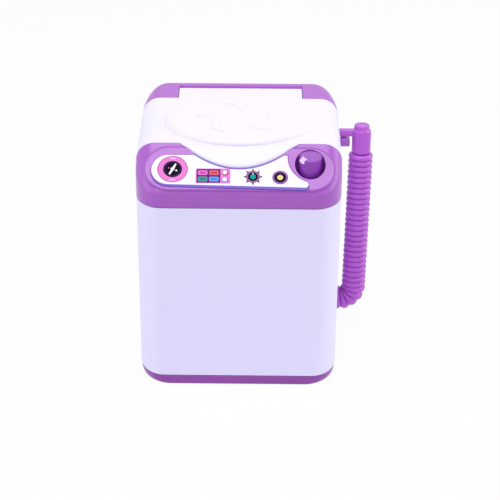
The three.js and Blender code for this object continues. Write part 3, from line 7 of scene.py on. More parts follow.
import json
from math import asin, atan2, copysign, cos, hypot, pi, radians, sin, sqrt, tan

import bpy
from mathutils import Matrix, Vector


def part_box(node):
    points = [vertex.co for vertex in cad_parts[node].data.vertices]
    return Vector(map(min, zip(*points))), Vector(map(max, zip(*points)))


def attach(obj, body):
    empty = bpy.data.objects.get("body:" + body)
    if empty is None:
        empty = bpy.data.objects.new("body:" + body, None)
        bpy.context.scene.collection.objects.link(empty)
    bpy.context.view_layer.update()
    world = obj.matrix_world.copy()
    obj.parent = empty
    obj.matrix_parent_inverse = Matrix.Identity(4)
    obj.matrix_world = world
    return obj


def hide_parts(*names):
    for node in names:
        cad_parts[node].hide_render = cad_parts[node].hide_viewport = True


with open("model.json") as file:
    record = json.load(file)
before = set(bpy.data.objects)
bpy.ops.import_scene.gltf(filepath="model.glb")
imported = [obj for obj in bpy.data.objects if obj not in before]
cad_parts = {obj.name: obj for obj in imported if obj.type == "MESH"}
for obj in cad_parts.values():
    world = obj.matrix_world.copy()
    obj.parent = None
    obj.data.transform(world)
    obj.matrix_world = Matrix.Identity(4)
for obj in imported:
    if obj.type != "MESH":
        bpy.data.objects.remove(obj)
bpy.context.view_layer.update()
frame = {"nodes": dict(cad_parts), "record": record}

MM = 0.001
quarter_turn = pi / 2

# Casing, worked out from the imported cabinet, rear frame and fascia
cabinet_low, cabinet_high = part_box("cabinet")
frame_low, frame_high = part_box("rear_frame")
fascia_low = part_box("control_fascia")[0]
middle_x = (cabinet_low.x + cabinet_high.x) / 2
half_width = (cabinet_high.x - cabinet_low.x) / 2 / MM
half_depth = frame_high.y / MM
cabinet_top = cabinet_high.z / MM
seam_height = frame_low.z / MM
skirt_bottom = fascia_low.z / MM

# Casing sizes
corner_x = 15
corner_y = 22
side_draft = 0.5
wall = 2
gap = 0.3
overrun = 1  # how far a cutting tool reaches past what it cuts
edge = 0.5  # radius on the moulded edges
hair = 0.002  # keeps two surfaces or two rings just apart
base_top = 6.2
tray_inset_top = 0.3
tray_inset_bottom = 2
tray_rounder = 5
tray_turn_share = 0.9  # how much of the tray's height its turned-under rim takes
lid_rise = 7.5
top_rise = 9.4
crown_rise = 0.8
slope_rise = 19
slope_depth = 25.5
shoulder_radius = 10.5
fold_radius = 2
rear_edge_radius = 3
deck_thickness = 2.5
ledge_width = 2.2
ledge_thickness = 1.8

# Control face
bezel_rise = 0.8
bezel_reach = 14.2
bezel_middle = 15
lip_rise = 0.35
lip_edge = 0.55
lip_width = 1.15
lip_foot = 0.2
label_recess = 0.8
label_thickness = 0.4
label_edge = 0.1
label_end_radius = 10.25
label_from_side = 19.3
label_middle = 13.25
label_tip_up = 3.35
label_tip_radius = 2.3
label_tip_from_knob = 3
hollow_radius = 16.1
hollow_from_knob = 3.9
hollow_up = 22.2
hollow_start = radians(250)
knob_from_side = 18.1
knob_from_front = 14.1
knob_radius = 6.2
knob_lean = radians(8)
knob_rise = 6.1
knob_edge = 0.7
well_depth = 7.8
well_radius = 8.5
spindle_radius = 2.2
running_fit = 0.06
pointer_depth = 2.5
pointer_width = 5
pointer_turn = radians(-58)
pointer_slope = radians(45)

# Lid
hinge_block_width = 21.3
tongue_inset = 3.2
tongue_reach = 16.3
tongue_rise = 1.3
tongue_sink = 1.2
tongue_rim_reach = 2.6
tongue_rim_drop = 1.6
tongue_bend = 3.2  # how high the crown bends over before it meets the tongue
pocket_sink = 1.6
side_gap = 0.4
swing_relief = 1.4
hinge_from_back = 10.3
knuckle_radius = 3.4
hinge_pin_radius = 1.5
hinge_pin_length = 3.2
frame_depth = 23.5
pad_from_side = 14.5
pad_overlap = 0.5
pad_forward = 2
pad_rise = 2.3
pad_rim_reach = 3.2
drop_rise = 0.9
drop_rim_reach = 1.6
drop_count = 5
drop_length = 15
drop_width = 9
drop_bend = 2.4
drop_from_end_x = 21
drop_from_end_y = 14
drop_first = 0.25  # place of the first drop, as a share of the step between two
drop_lean = 0.3 * pi
patch_shares = (0.85, 0.65, 0.4, 0.15)  # rings on top of a raised patch, as shares of its rim

# Wash tub, basket and pulsator
tub_from_lid_front = 1.6
tub_from_back = 9.1
tub_wall = 1.6
tub_bottom = 44
basket_clearance = 3.8
basket_wall = 1.4
basket_lift = 5.5
basket_from_seam = 12.5
basket_rim = 1.2
basket_rim_line = ((0, 2), (0.9, 1), (1, 0.7), (1, 0.3), (0.7, 0))  # (out, down) stations, in rims
basket_mouth = ((0, 0.8), (0.25, 0.2), (0.8, -gap))  # (out, down) stations
tub_mouth = ((0, 1.2), (0.35, 0.35), (1.2, 0))
outer_curve = 2  # radius of a bowl's lower corner, in walls
inner_curve = 1.6
slot_count = 12
slot_rows = 2
slot_spare = 0.5  # share of a row's height that is left over, half of it under the first row
slot_width = 3
slot_length = 22
slot_tool_reach = 1.5  # in basket radii
pulsator_clearance = 7.6
pulsator_disc = 2
pulsator_dome = 5
dome_top_share = 0.6  # radius of the dome's top, in hub radii
vane_count = 4
vane_height = 5
vane_thickness = 2.2
vane_edge = 0.8
hub_radius = 5
hub_depth = 4.5
hub_wall = 1.5
shaft_radius = 1.5

# Drain hose, nozzle and holder
outlet_height = 18.3
outlet_hole_radius = 4.5
spigot_flange = 1.4
hose_bore = 4.8
hose_valley = 6
hose_crest = 7.3
rib_pitch = 3.47
rib_fullness = 0.7  # under 1 the ribs are plumper than a sine wave
hose_top_out = 14.4
hose_foot_out = 13
hose_bend = 8.2
hose_below_seam = 17.9
nozzle_radius = 5.6
nozzle_edge = 0.4
nozzle_tip_radius = 4.5
nozzle_tip_edge = 0.8
nozzle_below_seam = 3.3
nozzle_neck = 3
nozzle_end = 1.2
nozzle_bore = 2.6
nozzle_step = (
    (nozzle_radius, -1.2),
    (nozzle_radius - 0.2, -0.6),
    (nozzle_tip_radius + 0.2, 0.3),
    (nozzle_tip_radius, 0.8),
)  # (radius, height) stations from the shoulder
nozzle_dimple = ((2.6, 0), (2.3, -0.25), (0.3, -0.35))  # (radius, height) stations from the tip
arm_below_seam = 7.4
arm_height = 4.1
arm_width = 4
arm_edge = 0.9
peg_out = 3.9
peg_radius = 1.8
peg_reach = 3.6
peg_tip_inset, peg_tip_rise = 0.4, 0.5
holder_reach = 7
holder_width = 8
holder_height = 4.6
holder_slot = 2.15
arm_above_holder = 0.9

# Printed marks on the label: places are across and up the slope from the fold
print_gap = 0.005
print_thickness = 0.015
white_end = (-38.6, 14.1)
white_end_radius = 9.4
white_tip = (36.5, 5.0)
white_tip_radius = 1.8
# width of the violet-blue line left along the tongue: a painted shadow under the tongue's lip
tongue_shadow_line = 0.7
big_dial = (-36.3, 14.3)
dial_light_up = 6.9
buttons_left, buttons_right = -23.5, -4.5
buttons_low, buttons_high = 5.4, 14.9
key_field_left, key_field_right, key_field_inset = 0.5, 13.5, 0.4
key_left, key_low = 1.2, 1.3
key_pitch_across, key_pitch_up = 6.2, 4
key_width, key_height = 5.2, 2.9
key_rim_across, key_rim_up = 0.8, 0.75
field_corner, key_field_corner, key_rim_corner, key_corner = 0.6, 0.3, 0.8, 0.4
light_from_right = 2.9
light_radius, light_face_radius = 1.85, 1.35
spoked_dial = (7.9, 9.8)
spoke_count = 8
spoke_reach = 3.9
ring_dial = (22.8, 9.5)

# Fineness of the curves
corner_steps = 14
side_steps = 20
shoulder_steps = 10
block_steps = 4
low_rim_steps = 3
bowl_steps = 6
soft_steps = 8
tip_steps = 12
round_steps = 64
rod_steps = 32
rib_steps = 8
hose_sides = 32
slot_sides = 24
drop_steps = 40
dome_steps = 12
halvings = 30
open_share = 0.999  # keeps a fully rounded rim from closing to a point
same_way = 0.999  # cosine above which two directions count as one

# The view of the photograph: how far it looks down, aside and askew, and where the lens stands
camera_pitch = radians(24.899)
camera_swing = radians(0.246)
camera_roll = radians(0.418)
camera_place = (middle_x + 9.776 * MM, -792.67 * MM, 430.42 * MM)
focal_pixels = 1470.8
image_pixels = 500
film_width = 36

# Stage: colours are linear, places and sizes are in metres, and power is in watts
floor_half = 4.0
floor_drop = 0.0002
paper_colour = (0.82, 0.82, 0.84, 1.0)
white = (1.0, 1.0, 1.0, 1.0)
background_share = 0.95
room_colour = (0.84, 0.80, 1.0, 1.0)
room_level = 0.71
ceiling_level = 0.115
ceiling_from, ceiling_to = 0.6, 0.9
softboxes = (
    ("top_softbox", (0.0, -0.16, 1.2), 0.95, 0.45, 5.6),
    ("high_softbox", (-0.15, -0.6, 1.0), 0.5, 0.5, 2.6),
    ("back_softbox", (0.1, 0.8, 0.9), 0.7, 0.7, 0.5),
    ("left_softbox", (-1.1, -0.2, 0.45), 0.7, 0.7, 2.0),
    ("right_softbox", (1.05, 0.1, 0.5), 0.7, 0.7, 3.8),
)

# Derived places
front_top = seam_height + lid_rise
fold_height = front_top - slope_rise
lid_front = -half_depth + slope_depth
slope_angle = atan2(slope_rise, slope_depth)
slope_length = hypot(slope_rise, slope_depth)
deck_top = cabinet_top - gap
deck_low = deck_top - deck_thickness
lip_top = bezel_rise + lip_rise
label_low = bezel_rise - label_recess + gap
label_top = label_low + label_thickness
knob_x = half_width - knob_from_side
knob_y = -half_depth + knob_from_front
knob_middle = fold_height + knob_from_front * slope_rise / slope_depth
knob_top = knob_middle + knob_rise
knob_floor = knob_middle - well_depth
label_end_x = -half_width + label_from_side
tab_half = half_width - hinge_block_width
tongue_half = tab_half - tongue_inset
hinge_y = half_depth - hinge_from_back
frame_front = half_depth - frame_depth
pad_half_x = half_width - pad_from_side
pad_half_y = (frame_front - lid_front) / 2 + pad_overlap
pad_y = (frame_front + lid_front) / 2 - pad_forward
tub_radius = (half_depth - tub_from_back - lid_front - tub_from_lid_front) / 2
drum_y = (half_depth - tub_from_back + lid_front + tub_from_lid_front) / 2
basket_radius = tub_radius - basket_clearance
basket_bottom = tub_bottom + basket_lift
basket_top = seam_height - basket_from_seam
pulsator_radius = basket_radius - pulsator_clearance
drain_y = sum(corner.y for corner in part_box("outlet_spigot")) / 2 / MM
hose_top_x = half_width + hose_top_out
hose_foot_x = half_width + hose_foot_out
hose_top = seam_height - hose_below_seam
nozzle_shoulder = seam_height - nozzle_below_seam
nozzle_top = nozzle_shoulder + nozzle_neck
arm_bottom = seam_height - arm_below_seam
peg_x = half_width + peg_out
holder_top = arm_bottom - arm_above_holder
peg_bottom = holder_top - peg_reach
far = 2 * front_top


def draft_at(z):
    return side_draft * (cabinet_top - z) / cabinet_top


# The hose's middle line: a run out of the wall, an arc and a straight length up to the nozzle
spigot_outer = half_width - draft_at(outlet_height) + gap
hose_start_x = spigot_outer + spigot_flange + gap
bend_x = hose_foot_x - hose_bend
bend_z = outlet_height + hose_bend
top_from_bend = hypot(hose_top_x - bend_x, hose_top - bend_z)
hose_lean = atan2(hose_top_x - bend_x, hose_top - bend_z) - asin(hose_bend / top_from_bend)
hose_straight = sqrt(top_from_bend**2 - hose_bend**2)
bend_turn = quarter_turn - hose_lean
hose_run = bend_x - hose_start_x
hose_arc = hose_bend * bend_turn


# Outlines and profiles


def arc(x, y, radius, start, end, steps=round_steps // 2):
    """Points on an arc round x, y, between two turns in radians."""
    turns = [start + (end - start) * i / steps for i in range(steps + 1)]
    return [(x + radius * cos(turn), y + radius * sin(turn)) for turn in turns]


def ellipse(x, y, half_x, half_y, steps):
    turns = [2 * pi * i / steps for i in range(steps)]
    return [(x + half_x * cos(turn), y + half_y * sin(turn)) for turn in turns]


def set_down(points, place, turn):
    """Flat points turned and then moved to a place."""
    along, across = cos(turn), sin(turn)
    return [(place[0] + x * along - y * across, place[1] + x * across + y * along) for x, y in points]


def rounded_rectangle(x0, x1, y0, y1, radius, steps=6, inset=0.0):
    """A rectangle with round corners, drawn in by inset."""
    left, right, low, high = x0 + radius, x1 - radius, y0 + radius, y1 - radius
    corners = ((right, low), (right, high), (left, high), (left, low))
    outline = []
    for number, corner in enumerate(corners, -1):
        start = number * quarter_turn
        outline += arc(*corner, radius - inset, start, start + quarter_turn, steps)
    return outline


def quarter_round(radius, steps=4):
    """(inset, drop) stations of a rounded upper rim, from the upright side to the flat top."""
    turns = [quarter_turn * i / steps for i in range(steps + 1)]
    return [(radius * (1 - cos(turn)), radius * (1 - sin(turn))) for turn in turns]


def rim_profile(low, high, radius):
    """(inset, z) stations of an upright wall with a rounded lower and upper rim."""
    rim = quarter_round(radius)
    lower = [(open_share * drop, low + inset) for inset, drop in rim]
    return lower + [(open_share * inset, high - drop) for inset, drop in rim]


def bowl(radius, bottom, curve):
    """(radius, z) stations of a bowl's rounded lower corner, from its flat bottom to its upright wall."""
    return [(radius - drop, bottom + inset) for inset, drop in quarter_round(curve, bowl_steps)]


def soft_rim(reach, height, top):
    """(inset, off) stations of a rim that is rounded over a reach and a height."""
    return [(reach * inset, top - height * drop) for inset, drop in quarter_round(1, soft_steps)]


def both_halves(right):
    """The points of a right half and of its mirror image, as one outline."""
    return right + [(-point[0], *point[1:]) for point in reversed(right)]


# Mesh helpers


def add_object(name, data):
    thing = bpy.data.objects.new(name, data)
    bpy.context.scene.collection.objects.link(thing)
    return thing


def loft(rings, ridged=False, looped=False):
    """Rings of equally many points joined into a closed skin in millimetres: capped by flat ends, by a ridged
    top made of strips from side to side, or looped back onto the first ring."""
    count = len(rings[0])
    faces = []
    for low in range(len(rings) if looped else len(rings) - 1):
        high = (low + 1) % len(rings)
        for i in range(count):
            j = (i + 1) % count
            faces.append((low * count + i, low * count + j, high * count + j, high * count + i))
    if not looped:
        last = (len(rings) - 1) * count
        faces.append(tuple(reversed(range(count))))
        if ridged:
            for i in range(count // 2 - 1):
                left = last + count - 1 - i
                faces.append((last + i, last + i + 1, left - 1, left))
        else:
            faces.append(tuple(range(last, last + count)))
    mesh = bpy.data.meshes.new("loft")
    mesh.from_pydata([Vector(point) for ring in rings for point in ring], [], faces)
    mesh.update()
    return add_object("loft", mesh)


def prism(outline, low, high):
    return loft([[(x, y, z) for x, y in outline] for z in (low, high)])


def bar_along_x(outline, left, right):
    """A flat outline of (y, z) points, counterclockwise seen from +X, drawn along X."""
    return loft([[(x, y, z) for y, z in outline] for x in (left, right)])


def block(x0, x1, y0, y1, z0, z1, radius=0.0):
    """A box, with its upright edges and its rims rounded where a radius is given."""
    if not radius:
        return prism([(x0, y0), (x1, y0), (x1, y1), (x0, y1)], z0, z1)
    rings = []
    for inset, z in rim_profile(z0, z1, radius):
        outline = rounded_rectangle(x0, x1, y0, y1, radius, block_steps, inset)
        rings.append([(x, y, z) for x, y in outline])
    return loft(rings)


def in_front_of(y):
    return block(-far, far, -far, y, 0, far)


def behind(y):
    return block(-far, far, y, far, 0, far)


def turned(x, y, profile, steps=round_steps):
    """A body turned on the upright axis through x, y, from (radius, z) points."""
    return loft([[(*point, z) for point in ellipse(x, y, radius, radius, steps)] for radius, z in profile])


def rod(x, y, low, high, radius, steps=rod_steps):
    return turned(x, y, [(radius, low), (radius, high)], steps)


def lay_along_x(body, x, y, z):
    """Turns a body made on the Z axis so that its axis runs along +X through y, z."""
    body.data.transform(Matrix.Translation((x, y, z)) @ Matrix.Rotation(quarter_turn, 4, "Y"))
    return body


def spin_about_drum(body, turn, z=0):
    """Turns a body about the drum's axis, on which it was made, and lifts it."""
    body.data.transform(Matrix.Translation((0, drum_y, z)) @ Matrix.Rotation(turn, 4, "Z"))
    return body


def combine(body, tools, operation):
    """Joins a body with each tool, or cuts or bounds it by each, and removes the tools."""
    for tool in tools:
        shape = body.modifiers.new("shape", "BOOLEAN")
        shape.operation = operation
        shape.solver = "MANIFOLD"
        shape.object = tool
        graph = bpy.context.evaluated_depsgraph_get()
        shaped = bpy.data.meshes.new_from_object(body.evaluated_get(graph))
        body.modifiers.clear()
        before = body.data
        body.data = shaped
        bpy.data.meshes.remove(before)
        bpy.data.objects.remove(tool)
    return body


def join(body, *tools):
    return combine(body, tools, "UNION")


def cut(body, *tools):
    return combine(body, tools, "DIFFERENCE")


def overlap(body, *tools):
    return combine(body, tools, "INTERSECT")


def finish_piece(body, name, rides_on, slot, stands_for=(), material=None, smooth_angle=35):
    """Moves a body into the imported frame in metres, and gives it its name, finish and place on the toy."""
    body.data.transform(Matrix.Translation((middle_x, 0, 0)) @ Matrix.Scale(MM, 4))
    body.name = name
    body.data.name = name
    body.data.materials.clear()
    body.data.materials.append(material or slot_finish[slot])
    body.data.shade_smooth()
    body.data.set_sharp_from_angle(angle=radians(smooth_angle))
    weights = body.modifiers.new("normals", "WEIGHTED_NORMAL")
    weights.keep_sharp = True
    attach(body, rides_on)
    if stands_for:
        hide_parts(*stands_for)
    return body


# Materials


def linear(colour):
    """An sRGB hex colour as linear red, green, blue and alpha."""
    channels = [int(colour[i : i + 2], 16) / 255 for i in (1, 3, 5)]
    return [c / 12.92 if c <= 0.04045 else ((c + 0.055) / 1.055) ** 2.4 for c in channels] + [1.0]


def add_node(tree, kind, inputs=None, **settings):
    """Adds a node with its settings. An input is a value, or the socket or node that feeds it."""
    node = tree.nodes.new(kind)
    for name, value in settings.items():
        setattr(node, name, value)
    for key, value in (inputs or {}).items():
        if isinstance(value, bpy.types.Node):
            value = next(socket for socket in value.outputs if socket.enabled)
        if isinstance(value, bpy.types.NodeSocket):
            tree.links.new(value, node.inputs[key])
        else:
            node.inputs[key].default_value = value
    return node


def new_material(name):
    material = bpy.data.materials.new(name)
    material.use_nodes = True
    material.node_tree.nodes.clear()
    return material, material.node_tree


def noise(tree, place, size, detail, roughness):
    """A noise pattern that repeats about every so many millimetres."""
    inputs = {"Vector": place, "Scale": 1 / (size * MM), "Detail": detail, "Roughness": roughness}
    return add_node(tree, "ShaderNodeTexNoise", inputs)


def map_range(tree, value, from_low, from_high, to_low, to_high):
    span = {"From Min": from_low, "From Max": from_high, "To Min": to_low, "To Max": to_high}
    return add_node(tree, "ShaderNodeMapRange", {"Value": value, **span})


def add_surface(tree, pattern, full_range, colour, shade, roughness, spread, relief, strength, depth, **own):
    """A surface whose colour and roughness follow a pattern, and whose skin follows a relief. The roughness
    spreads by a share as the pattern runs through its full range. The relief is depth millimetres deep."""
    colours = {"Factor": pattern, "A": linear(colour), "B": linear(shade)}
    tint = add_node(tree, "ShaderNodeMix", colours, data_type="RGBA")
    sheen = map_range(tree, pattern, *full_range, roughness * (1 - spread), roughness * (1 + spread))
    bump = add_node(tree, "ShaderNodeBump", {"Height": relief, "Strength": strength, "Distance": depth * MM})
    inputs = {"Base Color": tint, "Roughness": sheen, "Normal": bump, **own}
    shader = add_node(tree, "ShaderNodeBsdfPrincipled", inputs)
    add_node(tree, "ShaderNodeOutputMaterial", {"Surface": shader})


def moulded_plastic(name, colour, shade, roughness, ior=1.53, cloud=14, peel=1.1, peel_height=0.006):
    """Injection moulded plastic: a smooth skin that mirrors softly, faint flow clouds in the colour, and the
    shallow ripple that a polished mould leaves, drawn a little deeper than real so that it shows."""
    material, tree = new_material(name)
    place = add_node(tree, "ShaderNodeTexCoord").outputs["Object"]
    clouds = noise(tree, place, cloud, detail=3.0, roughness=0.5)
    ripple = noise(tree, place, peel, detail=2.0, roughness=0.4)
    skin = {"relief": ripple, "strength": 0.25, "depth": peel_height}
    add_surface(tree, clouds, (0.3, 0.7), colour, shade, roughness, spread=0.02, **skin, IOR=ior)
    return material


def printed_ink(name, colour, shade):
    """Satin ink printed on a plastic film: flat colour that hardly mirrors, with the faint mottle of the
    screen it was pressed through."""
    mottle = {"cloud": 0.7, "peel": 0.35, "peel_height": 0.002}
    return moulded_plastic(name, colour, shade, roughness=0.7, ior=1.15, **mottle)


def metal(name, colour, shade, roughness, grain=0.35, stretch=12.0):
    """Drawn or rolled metal: fine streaks along its length that spread the highlight across them."""
    material, tree = new_material(name)
    place = add_node(tree, "ShaderNodeTexCoord").outputs["Object"]
    along = add_node(tree, "ShaderNodeMapping", {"Vector": place, "Scale": (1.0, 1.0, 1 / stretch)})
    streaks = noise(tree, along, grain, detail=3.0, roughness=0.6)
    skin = {"relief": streaks, "strength": 0.2, "depth": 0.01}
    add_surface(tree, streaks, (0.0, 1.0), colour, shade, roughness, spread=0.3, **skin, Metallic=1.0)
    return material


slot_finish = {
    "shell_white": moulded_plastic("white_moulded_abs", "#edeaff", "#ebe8fe", 0.42, ior=1.5, cloud=30),
    "panel_purple": moulded_plastic("purple_moulded_abs", "#aa5dc1", "#a658bd", 0.3, cloud=25),
    "base_purple": moulded_plastic("deep_purple_moulded_abs", "#9843a8", "#923ea3", 0.28, cloud=20),
    "knob_purple": moulded_plastic("knob_polished_abs", "#933bb4", "#8e37b0", 0.18),
    "hose_purple": moulded_plastic("hose_blown_polyethylene", "#be5fd0", "#b455c8", 0.3, ior=1.52, peel=0.8),
    "inner_white": moulded_plastic("tub_moulded_polypropylene", "#f2f0f8", "#eceaf4", 0.42, ior=1.49),
    "gear_ivory": moulded_plastic("gear_moulded_acetal", "#ece6d2", "#e4ddc6", 0.40, ior=1.48, cloud=5),
    "switch_black": moulded_plastic("switch_moulded_nylon", "#1f1c22", "#2a262e", 0.5),
    "seal_rubber": moulded_plastic("seal_pressed_rubber", "#3c3942", "#46424c", 0.7, ior=1.52, peel=0.5),
    "cell_sleeve": moulded_plastic("cell_printed_sleeve", "#3767a6", "#2f5c99", 0.25, cloud=6),
    "wire_red": moulded_plastic("wire_red_extruded_pvc", "#c8322e", "#b92b28", 0.4, cloud=3),
    "wire_yellow": moulded_plastic("wire_yellow_extruded_pvc", "#d8b83a", "#ccab30", 0.4, cloud=3),
    "wire_black": moulded_plastic("wire_black_extruded_pvc", "#26242a", "#1e1c21", 0.4, cloud=3),
    "steel": metal("zinc_plated_steel", "#b9bcc2", "#a4a8b0", 0.28),
    "brass": metal("turned_brass", "#c9a654", "#b8933f", 0.25),
    "label_film": printed_ink("label_white_film", "#fbf7fc", "#f8f3fa"),
}

ink_colours = {
    "violet_blue": ("#8670cd", "#806ac8"),
    "pink": ("#ef87d3", "#eb7fce"),
    "black": ("#0c0517", "#11081d"),
    # painted highlight on the knob's facet
    "facet_highlight_lilac": ("#e6d3f5", "#e2cdf2"),
    "white": ("#f7f3f9", "#f2edf6"),
    "plum": ("#773974", "#6f336c"),
    "magenta": ("#e249ac", "#da40a4"),
    "red": ("#e13f4f", "#d93648"),
    "teal": ("#27887f", "#1f7e75"),
    "blue": ("#448bf3", "#3b82ec"),
    "yellow": ("#e7dd98", "#e2d68b"),
    "pale_pink": ("#fbb9ec", "#f8b0e8"),
    "slate": ("#4a4666", "#423e5e"),
    "grape": ("#6e2f7d", "#662a75"),
    "mauve": ("#a878b4", "#a070ac"),
    "maroon": ("#a8405e", "#9e3a57"),
    "salmon": ("#e8747f", "#e26b77"),
    "pale_teal": ("#63a6a9", "#5b9ea1"),
    "sky": ("#76b2f6", "#6daaf1"),
    "bright_teal": ("#1da497", "#199a8e"),
}
inks = {name: printed_ink("ink_" + name, *colours) for name, colours in ink_colours.items()}


# Shape of the casing


def outline_stations(steps_on_side):
    """Stations on the right half of the casing's outline, front to back: each arc's middle and the turn."""
    x = half_width - corner_x
    y = half_depth - corner_y
    stations = [(x, -y, quarter_turn * (i / corner_steps - 1)) for i in range(corner_steps + 1)]
    stations += [(x, -y + 2 * y * i / steps_on_side, 0.0) for i in range(1, steps_on_side)]
    stations += [(x, y, quarter_turn * i / corner_steps) for i in range(corner_steps + 1)]
    return stations


def station_point(station, inset):
    x, y, turn = station
    return x + (corner_x - inset) * cos(turn), y + (corner_y - inset) * sin(turn)


def plan_outline(inset, rounder=0):
    """The casing's outline, drawn in by inset, with corners that are rounder by an amount."""
    right = []
    for x, y, turn in outline_stations(1):
        station = (x - rounder, y - copysign(rounder, y), turn)
        right.append(station_point(station, inset - rounder))
    return both_halves(right)


def plan_ring(inset, z, rounder=0):
    return [(x, y, z) for x, y in plan_outline(inset, rounder)]


def crown_height(y):
    share = (y - lid_front) / (half_depth - lid_front)
    return front_top + top_rise * share + 4 * crown_rise * share * (1 - share)


def slope_height(y):
    return fold_height + (y + half_depth) * tan(slope_angle)


def lid_height(y):
    """The lid's top: the crown, which bends over softly into the tongue on the sloped face."""
    crown = crown_height(y)
    face = slope_height(y) + tongue_rise / cos(slope_angle)
    near = max(0.0, tongue_bend - abs(crown - face)) / tongue_bend
    return min(crown, face) - near * near * tongue_bend / 8


def shoulder_point(station, roof, inset, bend):
    """A point on the roof's rounded edge, from the side at bend 0 to the top, and how far in it lies."""
    across = cos(station[2]) ** 2
    end_radius = fold_radius if station[2] < 0 else rear_edge_radius
    radius = max(gap, shoulder_radius * across + end_radius * (1 - across) - inset)
    drawn_in = inset + radius * (1 - cos(bend))
    x, y = station_point(station, drawn_in)
    return x, y, roof(y) - inset - radius * (1 - sin(bend)), drawn_in


def shoulder_start(station, roof, inset, floor):
    """The bend at which the roof's edge rises past the floor, or 0 where it starts above it."""
    low, high = 0.0, quarter_turn
    if shoulder_point(station, roof, inset, low)[2] >= floor:
        return low
    for _ in range(halvings):
        middle = (low + high) / 2
        if shoulder_point(station, roof, inset, middle)[2] < floor:
            low = middle
        else:
            high = middle
    return high


def roofed_form(roof, inset, low, rim=0.0):
    """The space inside the casing above low and under a roof that rises over y. Every edge of the roof is
    rounded, widely at the sides and less at the front and the back, and the lower rim is rounded by rim."""
    floor = low + rim
    stations = outline_stations(side_steps)
    starts = [(station, shoulder_start(station, roof, inset, floor)) for station in stations]
    rings = []
    for up, inward in quarter_round(rim, low_rim_steps) if rim else [(0, 0)]:
        ring = []
        for station, start in starts:
            drawn_in = shoulder_point(station, roof, inset, start)[3] + inward
            ring.append((*station_point(station, drawn_in), low + up))
        rings.append(ring)
    for i in range(shoulder_steps + 1):
        ring = []
        for station, start in starts:
            bend = start + (quarter_turn - start) * i / shoulder_steps
            x, y, z, _ = shoulder_point(station, roof, inset, bend)
            ring.append((x, y, max(z, floor + hair * (i + 1))))
        rings.append(ring)
    return loft([both_halves(ring) for ring in rings], ridged=True)


def on_slope(rings):
    """A skin from rings of points on the sloped face: across, up from the fold, and off the face."""
    run, rise = cos(slope_angle), sin(slope_angle)
    placed = [
        [(x, -half_depth + up * run - off * rise, fold_height + up * rise + off * run) for x, up, off in ring]
        for ring in rings
    ]
    return loft(placed)


def slab_on_slope(outline_at, stations):
    """A slab on the sloped face from (inset, off) stations of an outline that can be drawn in."""
    return on_slope([[(x, up, off) for x, up in outline_at(inset)] for inset, off in stations])


def bezel_outline(inset):
    reach = bezel_reach - inset
    right = arc(knob_x, bezel_middle, reach, -quarter_turn, quarter_turn)
    return right + arc(label_end_x, bezel_middle, reach, quarter_turn, 3 * quarter_turn)


def label_shape(end, end_radius, tip, tip_radius, reach):
    """Round at the left, hollowed round the knob's well by reach, and ending in a round tip under it."""
    hollow_end = pi - asin((end[1] + end_radius - hollow_up) / reach)
    return (
        arc(*end, end_radius, quarter_turn, 3 * quarter_turn)
        + arc(*tip, tip_radius, -quarter_turn, quarter_turn / 2, tip_steps)
        + arc(knob_x + hollow_from_knob, hollow_up, reach, hollow_start, hollow_end)
    )


def label_outline(inset):
    return label_shape(
        (label_end_x, label_middle),
        label_end_radius - inset,
        (knob_x - label_tip_from_knob, label_tip_up),
        label_tip_radius - inset,
        hollow_radius + inset,
    )


def tongue_outline(inset):
    """A parabola that hangs from the lid's front edge."""
    half = tongue_half - inset
    reach = tongue_reach - inset
    steps = round_steps // 2
    points = []
    for i in range(steps + 1):
        share = 2 * i / steps - 1
        points.append((half * share, slope_length - reach + reach * share * share))
    return points + [(half, slope_length + tongue_reach), (-half, slope_length + tongue_reach)]


def tongue_room(clearance):
    """The room that the tongue and a clearance round it take on the sloped face."""
    return slab_on_slope(tongue_outline, [(-clearance, -pocket_sink), (-clearance, 2 * lip_top)])


# Cabinet and base


def make_cabinet():
    profile = rim_profile(base_top + gap, cabinet_top, edge)
    body = loft([plan_ring(inset + draft_at(z), z) for inset, z in profile])
    room_bottom = base_top - overrun
    room_top = deck_low - gap - ledge_thickness
    outlet = rod(0, 0, -2 * wall, overrun, outlet_hole_radius, round_steps)
    cut(
        body,
        loft([plan_ring(side_draft + wall, room_bottom), plan_ring(draft_at(room_top) + wall, room_top)]),
        prism(plan_outline(wall), deck_low - gap, cabinet_top + overrun),
        prism(plan_outline(wall + ledge_width), room_top - overrun, cabinet_top),
        block(-far, far, -far, lid_front, skirt_bottom - gap, far),
        lay_along_x(outlet, half_width, drain_y, outlet_height),
        holder_tenon(gap),
    )
    finish_piece(body, "cabinet_shell", "housing", "shell_white", ["cabinet"])


def holder_tenon(grow):
    """The holder's foot in the cabinet's wall, or the hole for it where it is grown by the gap."""
    quarter = holder_height / 4
    return block(
        half_width - wall - 2 * gap - grow,
        half_width + overrun,
        drain_y - holder_width / 4 - grow,
        drain_y + holder_width / 4 + grow,
        holder_top - 3 * quarter - grow,
        holder_top - quarter + grow,
    )


def on_plan(box):
    """Where a packed box starts and ends across and back, in millimetres."""
    return [((corner.x - middle_x) / MM, corner.y / MM) for corner in box]


